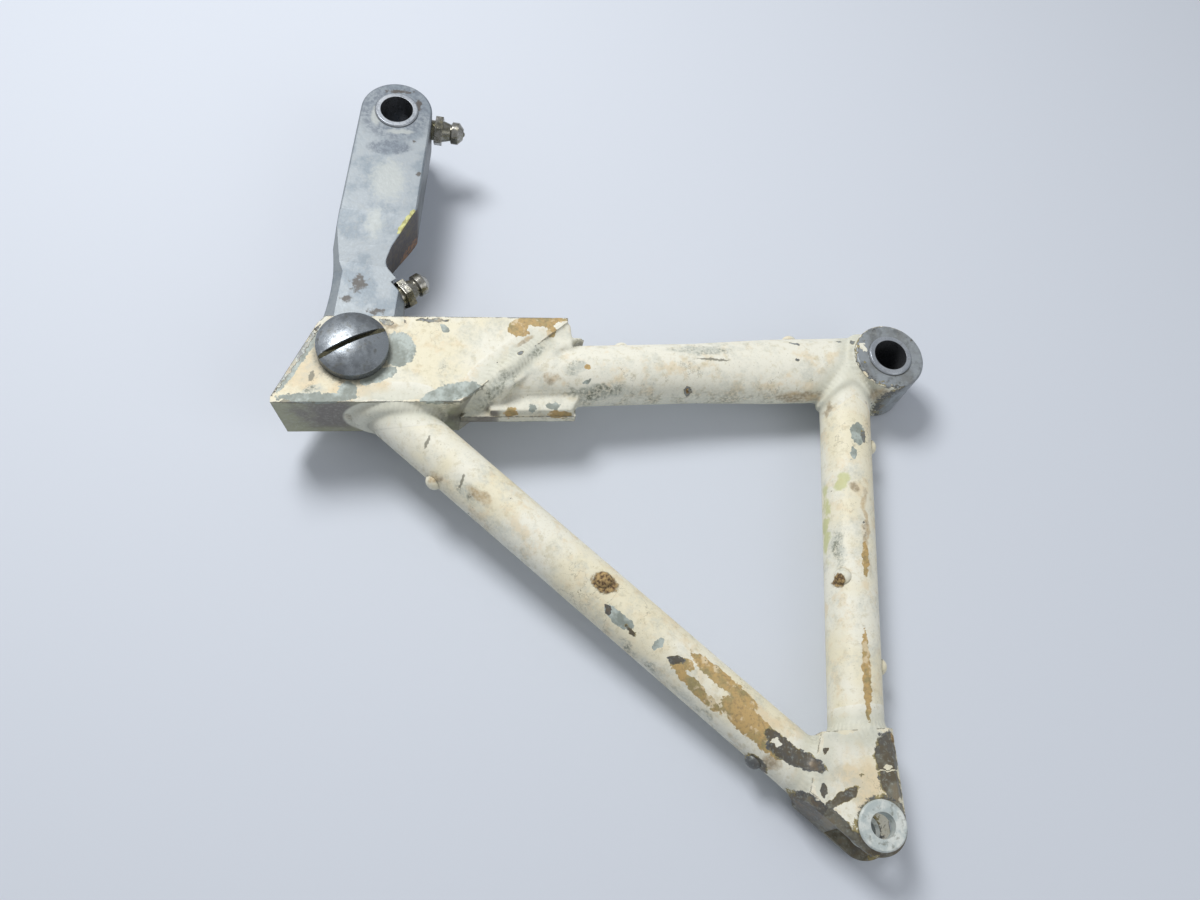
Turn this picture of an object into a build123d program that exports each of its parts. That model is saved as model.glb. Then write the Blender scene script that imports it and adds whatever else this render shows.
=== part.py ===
from build123d import *
from math import acos, atan2, cos, degrees, radians, sin, sqrt, tan
import os

# Landing gear retract truss: a welded triangle of steel tube with a bushed pivot boss, a slotted link
# fitting and a forked clevis at its corners. A link arm swings on a pin in the fitting's slot.
# Millimetres. The origin is the middle of the pivot bore, +Z runs along the bores, and +X runs along
# the upper tube from the link pin to the pivot bore.

INCH = 25.4
SMALL = 0.01

# Centres of the three bores, and the link's length and angle as it lies
PIN_X = -6.0 * INCH
PIN_Y = 2.0
CLEVIS_X = -26.3
CLEVIS_Y = -128.0
LINK_LENGTH = 3.25 * INCH
LINK_ANGLE = 81.6

# Pivot boss and its bush
BOSS_DIAMETER = 20.6
BOSS_LENGTH = 19.0
BOSS_CHAMFER = 0.5
PIVOT_BORE = 9.525
PIVOT_BUSH_DIAMETER = 12.7
PIVOT_BUSH_PROUD = 0.8
BUSH_CHAMFER = 0.35

# Tubes
TUBE_WALL = 1.25
UPPER_TUBE_DIAMETER = 17.2
UPPER_TUBE_DROP = 1.55
UPPER_TUBE_RISE = 0.8
UPPER_OVAL_WIDTH = 19.6
UPPER_OVAL_HEIGHT = 15.6
OVAL_END = 34.0
ROUND_START = 57.0
TUBE_BOSS_TRIM = 4.0
BRACE_DIAMETER = 14.3
CROSS_TUBE_TOP_X = -10.8
DIAGONAL_TOP_X = -141.2
DIAGONAL_SIDESTEP = 0.4
CROSS_SIDESTEP = 2.9

# Link fitting: a block with a pocket for the link, open to the rear and the left
FITTING_THICKNESS = 18.0
FITTING_FRONT_Y = -14.0
FITTING_REAR_Y = 12.1
FITTING_LEFT_X = -173.2
NOSE_FRONT_Y = -12.4
NOSE_REAR_X = -161.7
NOSE_REAR_Y = 9.9
NOSE_CORNER = 2.0
NOSE_LEAN = 2.7
SCARF_FRONT_X = -124.0
SCARF_ANGLE = 39.2
SCARF_CORNER_X = -93.5
POCKET_WIDTH = 12.0
WEB_THICKNESS = 3.5
POCKET_END_WALL = 7.0
TONGUE_THICKNESS = 3.0
TONGUE_END_X = -92.2
TONGUE_FRONT_Y = -15.0

# Link pin, its washer, castle nut and cotter
PIN_DIAMETER = 7.0 / 16.0 * INCH
PIN_FIT = 0.03
PIN_HEAD_DIAMETER = 19.2
PIN_HEAD_RIM = 2.7
PIN_HEAD_BEVEL = 0.9
PIN_HEAD_DOME = 1.7
PIN_SLOT_WIDTH = 1.5
PIN_SLOT_DEPTH = 1.6
PIN_SLOT_ANGLE = 26.6
PIN_TAIL = 10.0
PIN_TAIL_CHAMFER = 0.8
WASHER_DIAMETER = 19.05
WASHER_THICKNESS = 1.6
NUT_ACROSS_FLATS = 17.46
NUT_HEIGHT = 7.0
CASTLE_DEPTH = 3.2
CASTLE_WIDTH = 2.9
COTTER_DIAMETER = 2.2
COTTER_FIT = 0.15

# Link arm
ARM_THICKNESS = 17.6
ARM_OUTER_RADIUS = 10.5
ARM_INNER_RADIUS = 11.1
ARM_TONGUE_THICKNESS = 11.4
ARM_RAMP_START = 29.0
ARM_RAMP_END = 45.0
SCALLOP_TOP = 49.0
SCALLOP_BEND = 35.3
SCALLOP_BEND_OFFSET = 5.2
SCALLOP_WAIST = 30.0
SCALLOP_WAIST_OFFSET = 3.9
SCALLOP_ROUND = 4.0
SHOULDER_ALONG = 22.6
SIDE_SCALLOP_DEPTH = 1.6
SIDE_SCALLOP_MIDDLE = 20.0
SIDE_SCALLOP_RADIUS = 60.0
FACET_LEFT_WIDTH = 4.0
FACET_RIGHT_WIDTH = 2.0
FACET_HEIGHT = 3.0
FACET_LEFT_END = 41.0
FACET_LEFT_BEND = 26.0
FACET_RIGHT_END = 23.0
LINK_BUSH_DIAMETER = 12.7
LINK_BORE = 9.525
LINK_BUSH_PROUD = 0.6
INNER_BUSH_WALL = 1.6
PIN_RUNNING_CLEARANCE = 0.05
ARM_EDGE_CHAMFER = 0.4

# Grease fittings, measured from the face that they screw into
GREASE_HEIGHT = 1.6
GREASE_OUTER_ALONG = 0.8
GREASE_INNER_ACROSS = 10.2
GREASE_STUD_DIAMETER = 6.0
GREASE_STUD_LENGTH = 3.2
GREASE_COLLAR = 1.0
GREASE_HEX_FLATS = 7.94
GREASE_HEX_LENGTH = 2.3
GREASE_CONE_DIAMETER = 6.4
GREASE_NECK_DIAMETER = 5.0
GREASE_NECK_AT = 5.7
GREASE_HEAD_DIAMETER = 6.6
GREASE_HEAD_AT = 7.5
GREASE_LENGTH = 9.6
GREASE_TIP_DIAMETER = 3.4
GREASE_BORE = 1.4
GREASE_BALL_DIAMETER = 2.0
GREASE_PASSAGE = 1.6
SPOTFACE_DIAMETER = 10.4
SPOTFACE_DEPTH = 1.8

# Clevis fitting and its two flanged bushes
CLEVIS_THICKNESS = 15.0
CLEVIS_RADIUS = 7.1
CLEVIS_GAP = 9.8
CLEVIS_GAP_RADIUS = 10.5
CLEVIS_RIGHT = 7.9
CLEVIS_TOP = 23.0
CLEVIS_CROTCH = -11.6
CLEVIS_SIDE_LENGTH = 17.5
CLEVIS_SIDE_ANGLE = -44.4
CLEVIS_BORE = 6.35
CLEVIS_BUSH_DIAMETER = 8.6
CLEVIS_FLANGE_DIAMETER = 12.3
CLEVIS_FLANGE_THICKNESS = 0.8
CLEVIS_EDGE_CHAMFER = 1.8

# Weld beads
SCARF_BEAD_RADIUS = 3.0
SCARF_BEAD_SINK = 1.5
SCARF_FILL_WIDTH = 5.0
SCARF_FILL_RISE = 2.2
SCARF_FILL_BELOW_FACE = 0.5
CORNER_FILL_END_X = -92.6
CORNER_FILL_FOOT_Y = 3.0
CORNER_FILL_BELOW_FACE = 0.8
TONGUE_FILL_START_X = -116.0
TONGUE_FILL_END_X = -93.4
TONGUE_FILL_FRONT_Y = -14.2
TONGUE_FILL_REAR_Y = -8.0
TONGUE_FILL_HALF_HEIGHT = 3.6
BRACE_BEAD_RADIUS = 2.5
BRACE_BEAD_SINK = 0.9
CLEVIS_BEAD_RADIUS = 2.2
CLEVIS_BEAD_SINK = 1.5
BOSS_BEAD_WIDTH = 2.4
BOSS_BEAD_RISE = 1.1
BOSS_BEAD_BELOW_FACE = 1.0

# Drive screws that close the tubes' oil holes, by their distance along each tube
PLUG_HEAD_DIAMETER = 4.6
PLUG_HEAD_HEIGHT = 1.7
PLUG_SKIRT = 0.6
PLUG_SHANK_DIAMETER = 2.6
PLUG_SHANK_LENGTH = 4.0
UPPER_PLUG_BY_BOSS = 26.0
UPPER_PLUG_MIDDLE = 77.0
DIAGONAL_PLUG_BY_FITTING = 20.5
DIAGONAL_PLUG_MIDDLE = 72.0
DIAGONAL_PLUG_BY_CLEVIS = 129.5
CROSS_PLUG_BY_BOSS = 24.0
CROSS_PLUG_MIDDLE = 66.0
CROSS_PLUG_BY_CLEVIS = 88.0

# Sides of a tube that its drive screws face, in degrees round it from the top
INNER_SIDE = 90.0
OUTER_SIDE = -90.0
TOP_SIDE = 8.0
TOP_OUTER_SIDE = -38.0


# Derived places
HALF_BOSS = BOSS_LENGTH / 2
HALF_FITTING = FITTING_THICKNESS / 2
HALF_CLEVIS = CLEVIS_THICKNESS / 2
HALF_ARM = ARM_THICKNESS / 2
HALF_TONGUE = ARM_TONGUE_THICKNESS / 2
REACH = 400.0
SEAM_ROLL = -130.0
UPPER_START = Vector(0, UPPER_TUBE_RISE, 0)
UPPER_DIRECTION = Vector(-cos(radians(UPPER_TUBE_DROP)), -sin(radians(UPPER_TUBE_DROP)), 0)
SCARF_DIRECTION = Vector(cos(radians(SCARF_ANGLE)), sin(radians(SCARF_ANGLE)), 0)
SCARF_NORMAL = Vector(SCARF_DIRECTION.Y, -SCARF_DIRECTION.X, 0)
SCARF_FRONT = Vector(SCARF_FRONT_X, FITTING_FRONT_Y, 0)
PIN_CENTRE = Vector(PIN_X, PIN_Y, 0)
CLEVIS_CENTRE = Vector(CLEVIS_X, CLEVIS_Y, 0)
SIDE_DIRECTION = Vector(cos(radians(CLEVIS_SIDE_ANGLE)), sin(radians(CLEVIS_SIDE_ANGLE)), 0)
SIDE_NORMAL = Vector(SIDE_DIRECTION.Y, -SIDE_DIRECTION.X, 0)
DIAGONAL_TOP = Vector(DIAGONAL_TOP_X, FITTING_FRONT_Y, 0)
DIAGONAL_AIM = CLEVIS_CENTRE - SIDE_NORMAL * DIAGONAL_SIDESTEP
DIAGONAL_DIRECTION = (DIAGONAL_AIM - DIAGONAL_TOP).normalized()
CROSS_TOP = Vector(CROSS_TUBE_TOP_X, 0, 0)
CROSS_AIM = Vector(CLEVIS_X - CROSS_SIDESTEP, CLEVIS_Y, 0)
CROSS_DIRECTION = (CROSS_AIM - CROSS_TOP).normalized()
UPPER_OVAL_PLUGS = ((UPPER_PLUG_BY_BOSS, OUTER_SIDE),)
UPPER_ROUND_PLUGS = ((UPPER_PLUG_MIDDLE, OUTER_SIDE),)
DIAGONAL_PLUGS = (
    (DIAGONAL_PLUG_BY_FITTING, OUTER_SIDE),
    (DIAGONAL_PLUG_MIDDLE, TOP_SIDE),
    (DIAGONAL_PLUG_BY_CLEVIS, OUTER_SIDE),
)
CROSS_PLUGS = (
    (CROSS_PLUG_BY_BOSS, INNER_SIDE),
    (CROSS_PLUG_MIDDLE, TOP_OUTER_SIDE),
    (CROSS_PLUG_BY_CLEVIS, INNER_SIDE),
)
CLEVIS_SIDE_FOOT = SIDE_NORMAL * CLEVIS_RADIUS
CLEVIS_SIDE_TOP = CLEVIS_SIDE_FOOT - SIDE_DIRECTION * CLEVIS_SIDE_LENGTH


def along(origin, direction, roll=0.0):
    """A place whose Z runs along a direction in the truss plane and whose Y is the truss's Z."""
    side = Vector(direction.Y, -direction.X, 0)
    turned = side * cos(radians(roll)) + Vector(0, 0, 1) * sin(radians(roll))
    return Plane(origin=origin, x_dir=turned, z_dir=direction).location


def bar(radius, origin, direction, length, start=0.0):
    """Round bar that runs along a direction from a point."""
    body = Cylinder(radius, length, align=(Align.CENTER, Align.CENTER, Align.MIN))
    return along(origin + direction * start, direction, SEAM_ROLL) * body


def upright(radius, bottom, top, centre=Vector(0, 0, 0)):
    """Round bar that stands along Z between two heights."""
    middle = (bottom + top) / 2
    return Pos(centre.X, centre.Y, middle) * Cylinder(radius, top - bottom)


def slab(points, bottom, top):
    """Flat plate with the outline through the points, between two heights."""
    outline = Polyline(*[(p.X, p.Y) for p in points], close=True)
    return Pos(0, 0, bottom) * extrude(make_face(outline), amount=top - bottom)


def beyond(point, normal):
    """Everything on the side of an upright plane that its normal points to."""
    body = Box(REACH, REACH, REACH, align=(Align.CENTER, Align.CENTER, Align.MIN))
    return along(point, normal) * body


def upper_tube_shape(inset=0.0):
    """Upper tube, oval at the boss and round at the fitting, as a solid bar."""
    oval = Ellipse(UPPER_OVAL_WIDTH / 2 - inset, UPPER_OVAL_HEIGHT / 2 - inset)
    circle = Circle(UPPER_TUBE_DIAMETER / 2 - inset)
    length = -SCARF_FRONT_X - ROUND_START
    body = Pos(0, 0, TUBE_BOSS_TRIM) * extrude(oval, amount=OVAL_END - TUBE_BOSS_TRIM)
    body += loft([Pos(0, 0, OVAL_END) * oval, Pos(0, 0, ROUND_START) * circle])
    body += Pos(0, 0, ROUND_START) * extrude(circle, amount=length)
    return along(UPPER_START, UPPER_DIRECTION) * body


def brace_shape(top, direction, length, inset=0.0, start=0.0):
    """One of the two round brace tubes, as a solid bar."""
    return bar(BRACE_DIAMETER / 2 - inset, top, direction, length, start)


def boss_shape():
    """Outside of the pivot boss."""
    body = Cylinder(BOSS_DIAMETER / 2, BOSS_LENGTH)
    return chamfer(body.edges().filter_by(GeomType.CIRCLE), BOSS_CHAMFER)


def plug_place(top, direction, place, radius):
    """Place on a tube's surface, with Z pointing out of it."""
    distance, angle = place
    side = Vector(direction.Y, -direction.X, 0)
    outward = Vector(0, 0, 1) * cos(radians(angle)) - side * sin(radians(angle))
    point = top + direction * distance + outward * radius
    return Plane(origin=point, x_dir=direction, z_dir=outward).location


def plug_shank():
    """Shank of a drive screw, which also cuts its hole."""
    radius = PLUG_SHANK_DIAMETER / 2
    return Pos(0, 0, -PLUG_SHANK_LENGTH) * Cylinder(
        radius, PLUG_SHANK_LENGTH, align=(Align.CENTER, Align.CENTER, Align.MIN)
    )


def plug():
    """Drive screw with a domed head; the head reaches down onto the curved tube."""
    radius = PLUG_HEAD_DIAMETER / 2
    rise = PLUG_HEAD_HEIGHT
    skirt = Polyline((0, rise), (0, -PLUG_SKIRT), (radius, -PLUG_SKIRT), (radius, 0))
    dome = ThreePointArc((radius, 0), (radius * cos(radians(50)), rise * sin(radians(50))), (0, rise))
    head = revolve(Plane.XZ * make_face([*skirt.edges(), dome.edge()]), axis=Axis.Z)
    return head + plug_shank()


def plug_set(top, direction, places, radius, tube_shape):
    """The drive screws of one tube, seated on it."""
    screws = []
    for place in places:
        where = plug_place(top, direction, place, radius)
        head = where * plug() - tube_shape
        screws.append(head + where * plug_shank())
    return screws


def drilled(tube, top, direction, places, radius):
    """A tube with the holes that its drive screws close."""
    for place in places:
        tube -= plug_place(top, direction, place, radius) * plug_shank()
    return tube


def fitting_outline(shift=0.0):
    """Plan of the link fitting, with its leaning left end moved over by a shift."""
    scarf_rise = (SCARF_CORNER_X - SCARF_FRONT_X) * tan(radians(SCARF_ANGLE))
    return [
        Vector(FITTING_LEFT_X + shift, FITTING_FRONT_Y, 0),
        Vector(SCARF_FRONT_X, FITTING_FRONT_Y, 0),
        Vector(SCARF_CORNER_X, FITTING_FRONT_Y + scarf_rise, 0),
        Vector(SCARF_CORNER_X, FITTING_REAR_Y, 0),
        Vector(NOSE_REAR_X + NOSE_CORNER + shift, FITTING_REAR_Y, 0),
        Vector(NOSE_REAR_X + shift, NOSE_REAR_Y, 0),
        Vector(FITTING_LEFT_X + shift, NOSE_FRONT_Y, 0),
    ]


def fitting_block():
    """Link fitting before its pocket is cut, with the nose leaning under."""
    sections = []
    for height, shift in ((-HALF_FITTING, NOSE_LEAN), (HALF_FITTING, 0.0)):
        outline = Polyline(*[(p.X, p.Y) for p in fitting_outline(shift)], close=True)
        sections.append(Pos(0, 0, height) * make_face(outline))
    return loft(sections, ruled=True)


def fitting_tongue():
    """Thin tongue in the middle of the fitting that the upper tube is slotted over."""
    half = TONGUE_THICKNESS / 2
    start_x = SCARF_FRONT_X
    points = [
        Vector(start_x, TONGUE_FRONT_Y, 0),
        Vector(TONGUE_END_X, TONGUE_FRONT_Y, 0),
        Vector(TONGUE_END_X, FITTING_REAR_Y, 0),
        Vector(SCARF_CORNER_X, FITTING_REAR_Y, 0),
    ]
    return slab(points, -half, half)


def link_pocket():
    """Space between the fitting's two plates, closed by the web and a slanted end wall."""
    half = POCKET_WIDTH / 2
    web_y = FITTING_FRONT_Y + WEB_THICKNESS
    wall_foot = SCARF_FRONT - SCARF_NORMAL * POCKET_END_WALL
    slope = tan(radians(SCARF_ANGLE))
    front_x = wall_foot.X + (web_y - wall_foot.Y) / slope
    rear_y = FITTING_REAR_Y + NOSE_CORNER
    rear_x = wall_foot.X + (rear_y - wall_foot.Y) / slope
    points = [
        Vector(FITTING_LEFT_X - NOSE_CORNER, web_y, 0),
        Vector(front_x, web_y, 0),
        Vector(rear_x, rear_y, 0),
        Vector(FITTING_LEFT_X - NOSE_CORNER, rear_y, 0),
    ]
    return slab(points, -half, half)


def make_link_fitting():
    """Machined fitting with the link's pocket, the pin holes and the tongue."""
    body = fitting_block() + fitting_tongue()
    body -= link_pocket()
    pin_hole = upright(PIN_DIAMETER / 2 + PIN_FIT, -REACH, REACH, PIN_CENTRE)
    return body - pin_hole


def make_upper_tube():
    """Upper tube, notched to the boss, cut on the scarf and slotted over the tongue."""
    body = upper_tube_shape() - upper_tube_shape(TUBE_WALL)
    body -= upright(BOSS_DIAMETER / 2, -REACH, REACH)
    body -= beyond(SCARF_FRONT, SCARF_NORMAL * -1)
    body -= fitting_tongue()
    radius = UPPER_OVAL_WIDTH / 2
    body = drilled(body, UPPER_START, UPPER_DIRECTION, UPPER_OVAL_PLUGS, radius)
    radius = UPPER_TUBE_DIAMETER / 2
    return drilled(body, UPPER_START, UPPER_DIRECTION, UPPER_ROUND_PLUGS, radius)


def clevis_cut_edge():
    """A point on the clevis edge that the diagonal tube meets, and the edge's normal."""
    low = CLEVIS_CENTRE + CLEVIS_SIDE_TOP
    high = CLEVIS_CENTRE + Vector(CLEVIS_CROTCH, CLEVIS_TOP, 0)
    edge = (high - low).normalized()
    return low, Vector(edge.Y, -edge.X, 0)


def make_diagonal_tube():
    """Diagonal tube from the fitting's front web to the clevis."""
    length = (DIAGONAL_AIM - DIAGONAL_TOP).length
    lead = BRACE_DIAMETER
    body = brace_shape(DIAGONAL_TOP, DIAGONAL_DIRECTION, length + lead, 0.0, -lead)
    body -= brace_shape(DIAGONAL_TOP, DIAGONAL_DIRECTION, length + lead, TUBE_WALL, -lead)
    body -= beyond(DIAGONAL_TOP, Vector(0, 1, 0))
    point, normal = clevis_cut_edge()
    body -= beyond(point, normal)
    radius = BRACE_DIAMETER / 2
    return drilled(body, DIAGONAL_TOP, DIAGONAL_DIRECTION, DIAGONAL_PLUGS, radius)


def make_cross_tube():
    """Cross tube from the boss corner to the clevis."""
    length = (CROSS_AIM - CROSS_TOP).length
    body = brace_shape(CROSS_TOP, CROSS_DIRECTION, length)
    body -= brace_shape(CROSS_TOP, CROSS_DIRECTION, length, TUBE_WALL)
    body -= upper_tube_shape()
    body -= upright(BOSS_DIAMETER / 2, -REACH, REACH)
    body -= beyond(Vector(CLEVIS_X, CLEVIS_Y + CLEVIS_TOP, 0), Vector(0, -1, 0))
    radius = BRACE_DIAMETER / 2
    return drilled(body, CROSS_TOP, CROSS_DIRECTION, CROSS_PLUGS, radius)


def make_pivot_boss():
    """Boss that holds the pivot bush."""
    return boss_shape() - Cylinder(PIVOT_BUSH_DIAMETER / 2, BOSS_LENGTH)


def bush(outer_diameter, bore, length):
    """Plain bush with its ends chamfered."""
    body = Cylinder(outer_diameter / 2, length)
    body = chamfer(body.edges().filter_by(GeomType.CIRCLE), BUSH_CHAMFER)
    return body - Cylinder(bore / 2, length)


def make_pivot_bush():
    """Bush pressed into the boss, a little proud at both ends."""
    return bush(PIVOT_BUSH_DIAMETER, PIVOT_BORE, BOSS_LENGTH + 2 * PIVOT_BUSH_PROUD)


def clevis_outline():
    """Plan of the clevis about its bore: a round end, two sides and the edge that the tubes meet."""
    start = (CLEVIS_SIDE_FOOT.X, CLEVIS_SIDE_FOOT.Y)
    end = (CLEVIS_RADIUS, 0)
    middle_angle = atan2(CLEVIS_SIDE_FOOT.Y, CLEVIS_SIDE_FOOT.X) / 2
    middle = (CLEVIS_RADIUS * cos(middle_angle), CLEVIS_RADIUS * sin(middle_angle))
    tip = ThreePointArc(start, middle, end)
    rest = Polyline(
        end,
        (CLEVIS_RIGHT, CLEVIS_TOP),
        (CLEVIS_CROTCH, CLEVIS_TOP),
        (CLEVIS_SIDE_TOP.X, CLEVIS_SIDE_TOP.Y),
        start,
    )
    return make_face([tip.edge(), *rest.edges()])


def make_clevis_fitting():
    """Clevis with its slot, its two bush holes and the worn bevel along its outer side."""
    block = extrude(clevis_outline(), amount=HALF_CLEVIS, both=True)
    side_edges = [e for e in block.edges().filter_by(GeomType.LINE) if on_clevis_side(e)]
    block = chamfer(side_edges, CLEVIS_EDGE_CHAMFER)
    gap_round = upright(CLEVIS_GAP_RADIUS, -CLEVIS_GAP / 2, CLEVIS_GAP / 2)
    gap_front = Box(REACH, REACH, CLEVIS_GAP, align=(Align.CENTER, Align.MAX, Align.CENTER))
    block -= gap_round
    block -= gap_front
    block -= Cylinder(CLEVIS_BUSH_DIAMETER / 2, REACH)
    return Pos(CLEVIS_X, CLEVIS_Y, 0) * block


def on_clevis_side(edge):
    """Whether an edge of the clevis is one of the two long ones on its outer side."""
    run = edge.end_point() - edge.start_point()
    level = abs(run.Z) < SMALL
    slanted = abs(abs(run.normalized().dot(SIDE_DIRECTION)) - 1) < SMALL
    return level and slanted


def make_clevis_bush(side):
    """Flanged bush in one ear of the clevis; side is 1 above and -1 below."""
    ear = (CLEVIS_THICKNESS - CLEVIS_GAP) / 2
    body = upright(CLEVIS_BUSH_DIAMETER / 2, HALF_CLEVIS - ear, HALF_CLEVIS)
    flange = upright(CLEVIS_FLANGE_DIAMETER / 2, HALF_CLEVIS, HALF_CLEVIS + CLEVIS_FLANGE_THICKNESS)
    rim = flange.edges().filter_by(GeomType.CIRCLE).sort_by(Axis.Z)[-1]
    body += chamfer(rim, BUSH_CHAMFER)
    body -= Cylinder(CLEVIS_BORE / 2, REACH)
    if side < 0:
        body = mirror(body, about=Plane.XY)
    return Pos(CLEVIS_X, CLEVIS_Y, 0) * body


def ring_bead(origin, direction, radius, point, normal, bead_radius, sink):
    """Weld bead around a tube where an upright plane cuts it: a bar bent along the cut's ellipse."""
    reach = (point - origin).dot(normal) / direction.dot(normal)
    centre = origin + direction * reach
    long_radius = radius / abs(direction.dot(normal))
    across = Vector(normal.Y, -normal.X, 0)
    plane = Plane(origin=centre, x_dir=across, z_dir=normal)
    path = Edge.make_ellipse(long_radius - sink, radius - sink, plane=plane)
    section = Plane(origin=path @ 0, z_dir=path % 0) * Circle(bead_radius)
    return sweep(section, path=path)


def scarf_point(y):
    """Point of the scarf plane at a distance behind the bores' line."""
    return Vector(SCARF_FRONT_X + (y - FITTING_FRONT_Y) / tan(radians(SCARF_ANGLE)), y, 0)


def scarf_fill():
    """Weld metal that fills in between the edges of the fitting's plates and the round tube."""
    body = upper_tube_shape(-SCARF_FILL_RISE)
    body -= beyond(SCARF_FRONT, SCARF_NORMAL * -1)
    body -= beyond(SCARF_FRONT + SCARF_NORMAL * SCARF_FILL_WIDTH, SCARF_NORMAL)
    return body & Box(REACH, REACH, FITTING_THICKNESS - 2 * SCARF_FILL_BELOW_FACE)


def corner_fill():
    """Weld metal behind the tube, out to the rear corners of the fitting's plates."""
    corner = fitting_outline()[2]
    points = [
        scarf_point(CORNER_FILL_FOOT_Y),
        corner,
        Vector(CORNER_FILL_END_X, corner.Y, 0),
        Vector(CORNER_FILL_END_X, CORNER_FILL_FOOT_Y, 0),
    ]
    half = HALF_FITTING - CORNER_FILL_BELOW_FACE
    return slab(points, -half, half)


def tongue_fill():
    """Weld metal between the tube and the front edge of the tongue."""
    points = [
        Vector(TONGUE_FILL_START_X, TONGUE_FILL_REAR_Y, 0),
        Vector(TONGUE_FILL_START_X, TONGUE_FILL_FRONT_Y, 0),
        Vector(TONGUE_FILL_END_X, TONGUE_FILL_FRONT_Y, 0),
        Vector(TONGUE_FILL_END_X + TONGUE_FILL_HALF_HEIGHT, TONGUE_FILL_REAR_Y, 0),
    ]
    return slab(points, -TONGUE_FILL_HALF_HEIGHT, TONGUE_FILL_HALF_HEIGHT)


def make_scarf_weld(base):
    """Bead between the fitting's scarf and the upper tube."""
    bead = ring_bead(
        UPPER_START, UPPER_DIRECTION, UPPER_TUBE_DIAMETER / 2,
        SCARF_FRONT, SCARF_NORMAL, SCARF_BEAD_RADIUS, SCARF_BEAD_SINK,
    )
    bead += scarf_fill()
    bead += corner_fill()
    bead += tongue_fill()
    return bead - base["link_fitting"] - upper_tube_shape()


def make_diagonal_weld(base):
    """Bead between the fitting's web and the diagonal tube."""
    bead = ring_bead(
        DIAGONAL_TOP, DIAGONAL_DIRECTION, BRACE_DIAMETER / 2,
        DIAGONAL_TOP, Vector(0, 1, 0), BRACE_BEAD_RADIUS, BRACE_BEAD_SINK,
    )
    bead -= beyond(DIAGONAL_TOP, Vector(0, 1, 0))
    return bead - whole_diagonal()


def whole_diagonal():
    """Diagonal tube as a solid bar, to trim what is welded to it."""
    length = (DIAGONAL_AIM - DIAGONAL_TOP).length
    return brace_shape(DIAGONAL_TOP, DIAGONAL_DIRECTION, length + BRACE_DIAMETER, 0.0, -BRACE_DIAMETER)


def whole_cross():
    """Cross tube as a solid bar, to trim what is welded to it."""
    return brace_shape(CROSS_TOP, CROSS_DIRECTION, (CROSS_AIM - CROSS_TOP).length)


def bead_zone():
    """Heights between which the boss's weld beads lie."""
    height = BOSS_LENGTH - 2 * BOSS_BEAD_BELOW_FACE
    return Box(REACH, REACH, height)


def boss_halo(width):
    """Boss grown by a bead's width."""
    return upright(BOSS_DIAMETER / 2 + width, -HALF_BOSS, HALF_BOSS)


def make_boss_weld():
    """Bead where the upper tube is notched to the boss."""
    bead = boss_halo(BOSS_BEAD_WIDTH) & upper_tube_shape(-BOSS_BEAD_RISE) & bead_zone()
    bead -= boss_shape()
    bead -= upper_tube_shape()
    return bead - whole_cross()


def make_cross_weld(boss_weld):
    """Bead where the cross tube meets the upper tube and the boss."""
    grown = brace_shape(CROSS_TOP, CROSS_DIRECTION, BOSS_DIAMETER, -BOSS_BEAD_RISE)
    halo = boss_halo(BOSS_BEAD_WIDTH) + upper_tube_shape(-BOSS_BEAD_WIDTH)
    bead = grown & halo & bead_zone()
    bead -= boss_shape()
    bead -= upper_tube_shape()
    bead -= whole_cross()
    for part in boss_weld.solids():
        bead -= part
    return bead


def make_clevis_weld(top, direction, point, normal, base):
    """Bead around one tube's end on the clevis."""
    bead = ring_bead(
        top, direction, BRACE_DIAMETER / 2, point, normal, CLEVIS_BEAD_RADIUS, CLEVIS_BEAD_SINK
    )
    bead -= base["clevis_fitting"]
    bead -= whole_diagonal()
    return bead - whole_cross()


def make_link_pin():
    """Pin with a domed slotted head, and a hole for the cotter near its tail."""
    radius = PIN_DIAMETER / 2
    head_radius = PIN_HEAD_DIAMETER / 2
    flat_radius = head_radius - PIN_HEAD_BEVEL
    bottom = -HALF_FITTING - PIN_TAIL
    rim_top = HALF_FITTING + PIN_HEAD_RIM
    bevel_top = rim_top + PIN_HEAD_BEVEL / 2
    crown = bevel_top + PIN_HEAD_DOME
    shoulder = Polyline(
        (0, crown),
        (0, bottom),
        (radius - PIN_TAIL_CHAMFER, bottom),
        (radius, bottom + PIN_TAIL_CHAMFER),
        (radius, HALF_FITTING),
        (head_radius, HALF_FITTING),
        (head_radius, rim_top),
        (flat_radius, bevel_top),
    )
    dome_radius = (flat_radius**2 + PIN_HEAD_DOME**2) / (2 * PIN_HEAD_DOME)
    middle_x = flat_radius / 2
    middle_z = crown - dome_radius + sqrt(dome_radius**2 - middle_x**2)
    dome = ThreePointArc((flat_radius, bevel_top), (middle_x, middle_z), (0, crown))
    profile = make_face([*shoulder.edges(), dome.edge()])
    body = revolve(Plane.XZ * profile, axis=Axis.Z)
    cut = Box(PIN_HEAD_DIAMETER * 2, PIN_SLOT_WIDTH, PIN_SLOT_DEPTH * 2)
    body -= Pos(0, 0, crown) * Rot(0, 0, PIN_SLOT_ANGLE) * cut
    body = Pos(PIN_X, PIN_Y, 0) * body
    return body - cotter_hole()


def cotter_height():
    """Height of the cotter's axis, in the middle of the nut's castellations."""
    return -HALF_FITTING - WASHER_THICKNESS - NUT_HEIGHT + CASTLE_DEPTH / 2


def cotter_hole():
    """Hole through the pin's tail."""
    radius = COTTER_DIAMETER / 2 + COTTER_FIT
    place = Pos(PIN_X, PIN_Y, cotter_height()) * Rot(0, 90, 0)
    return place * Cylinder(radius, NUT_ACROSS_FLATS * 2)


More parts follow.
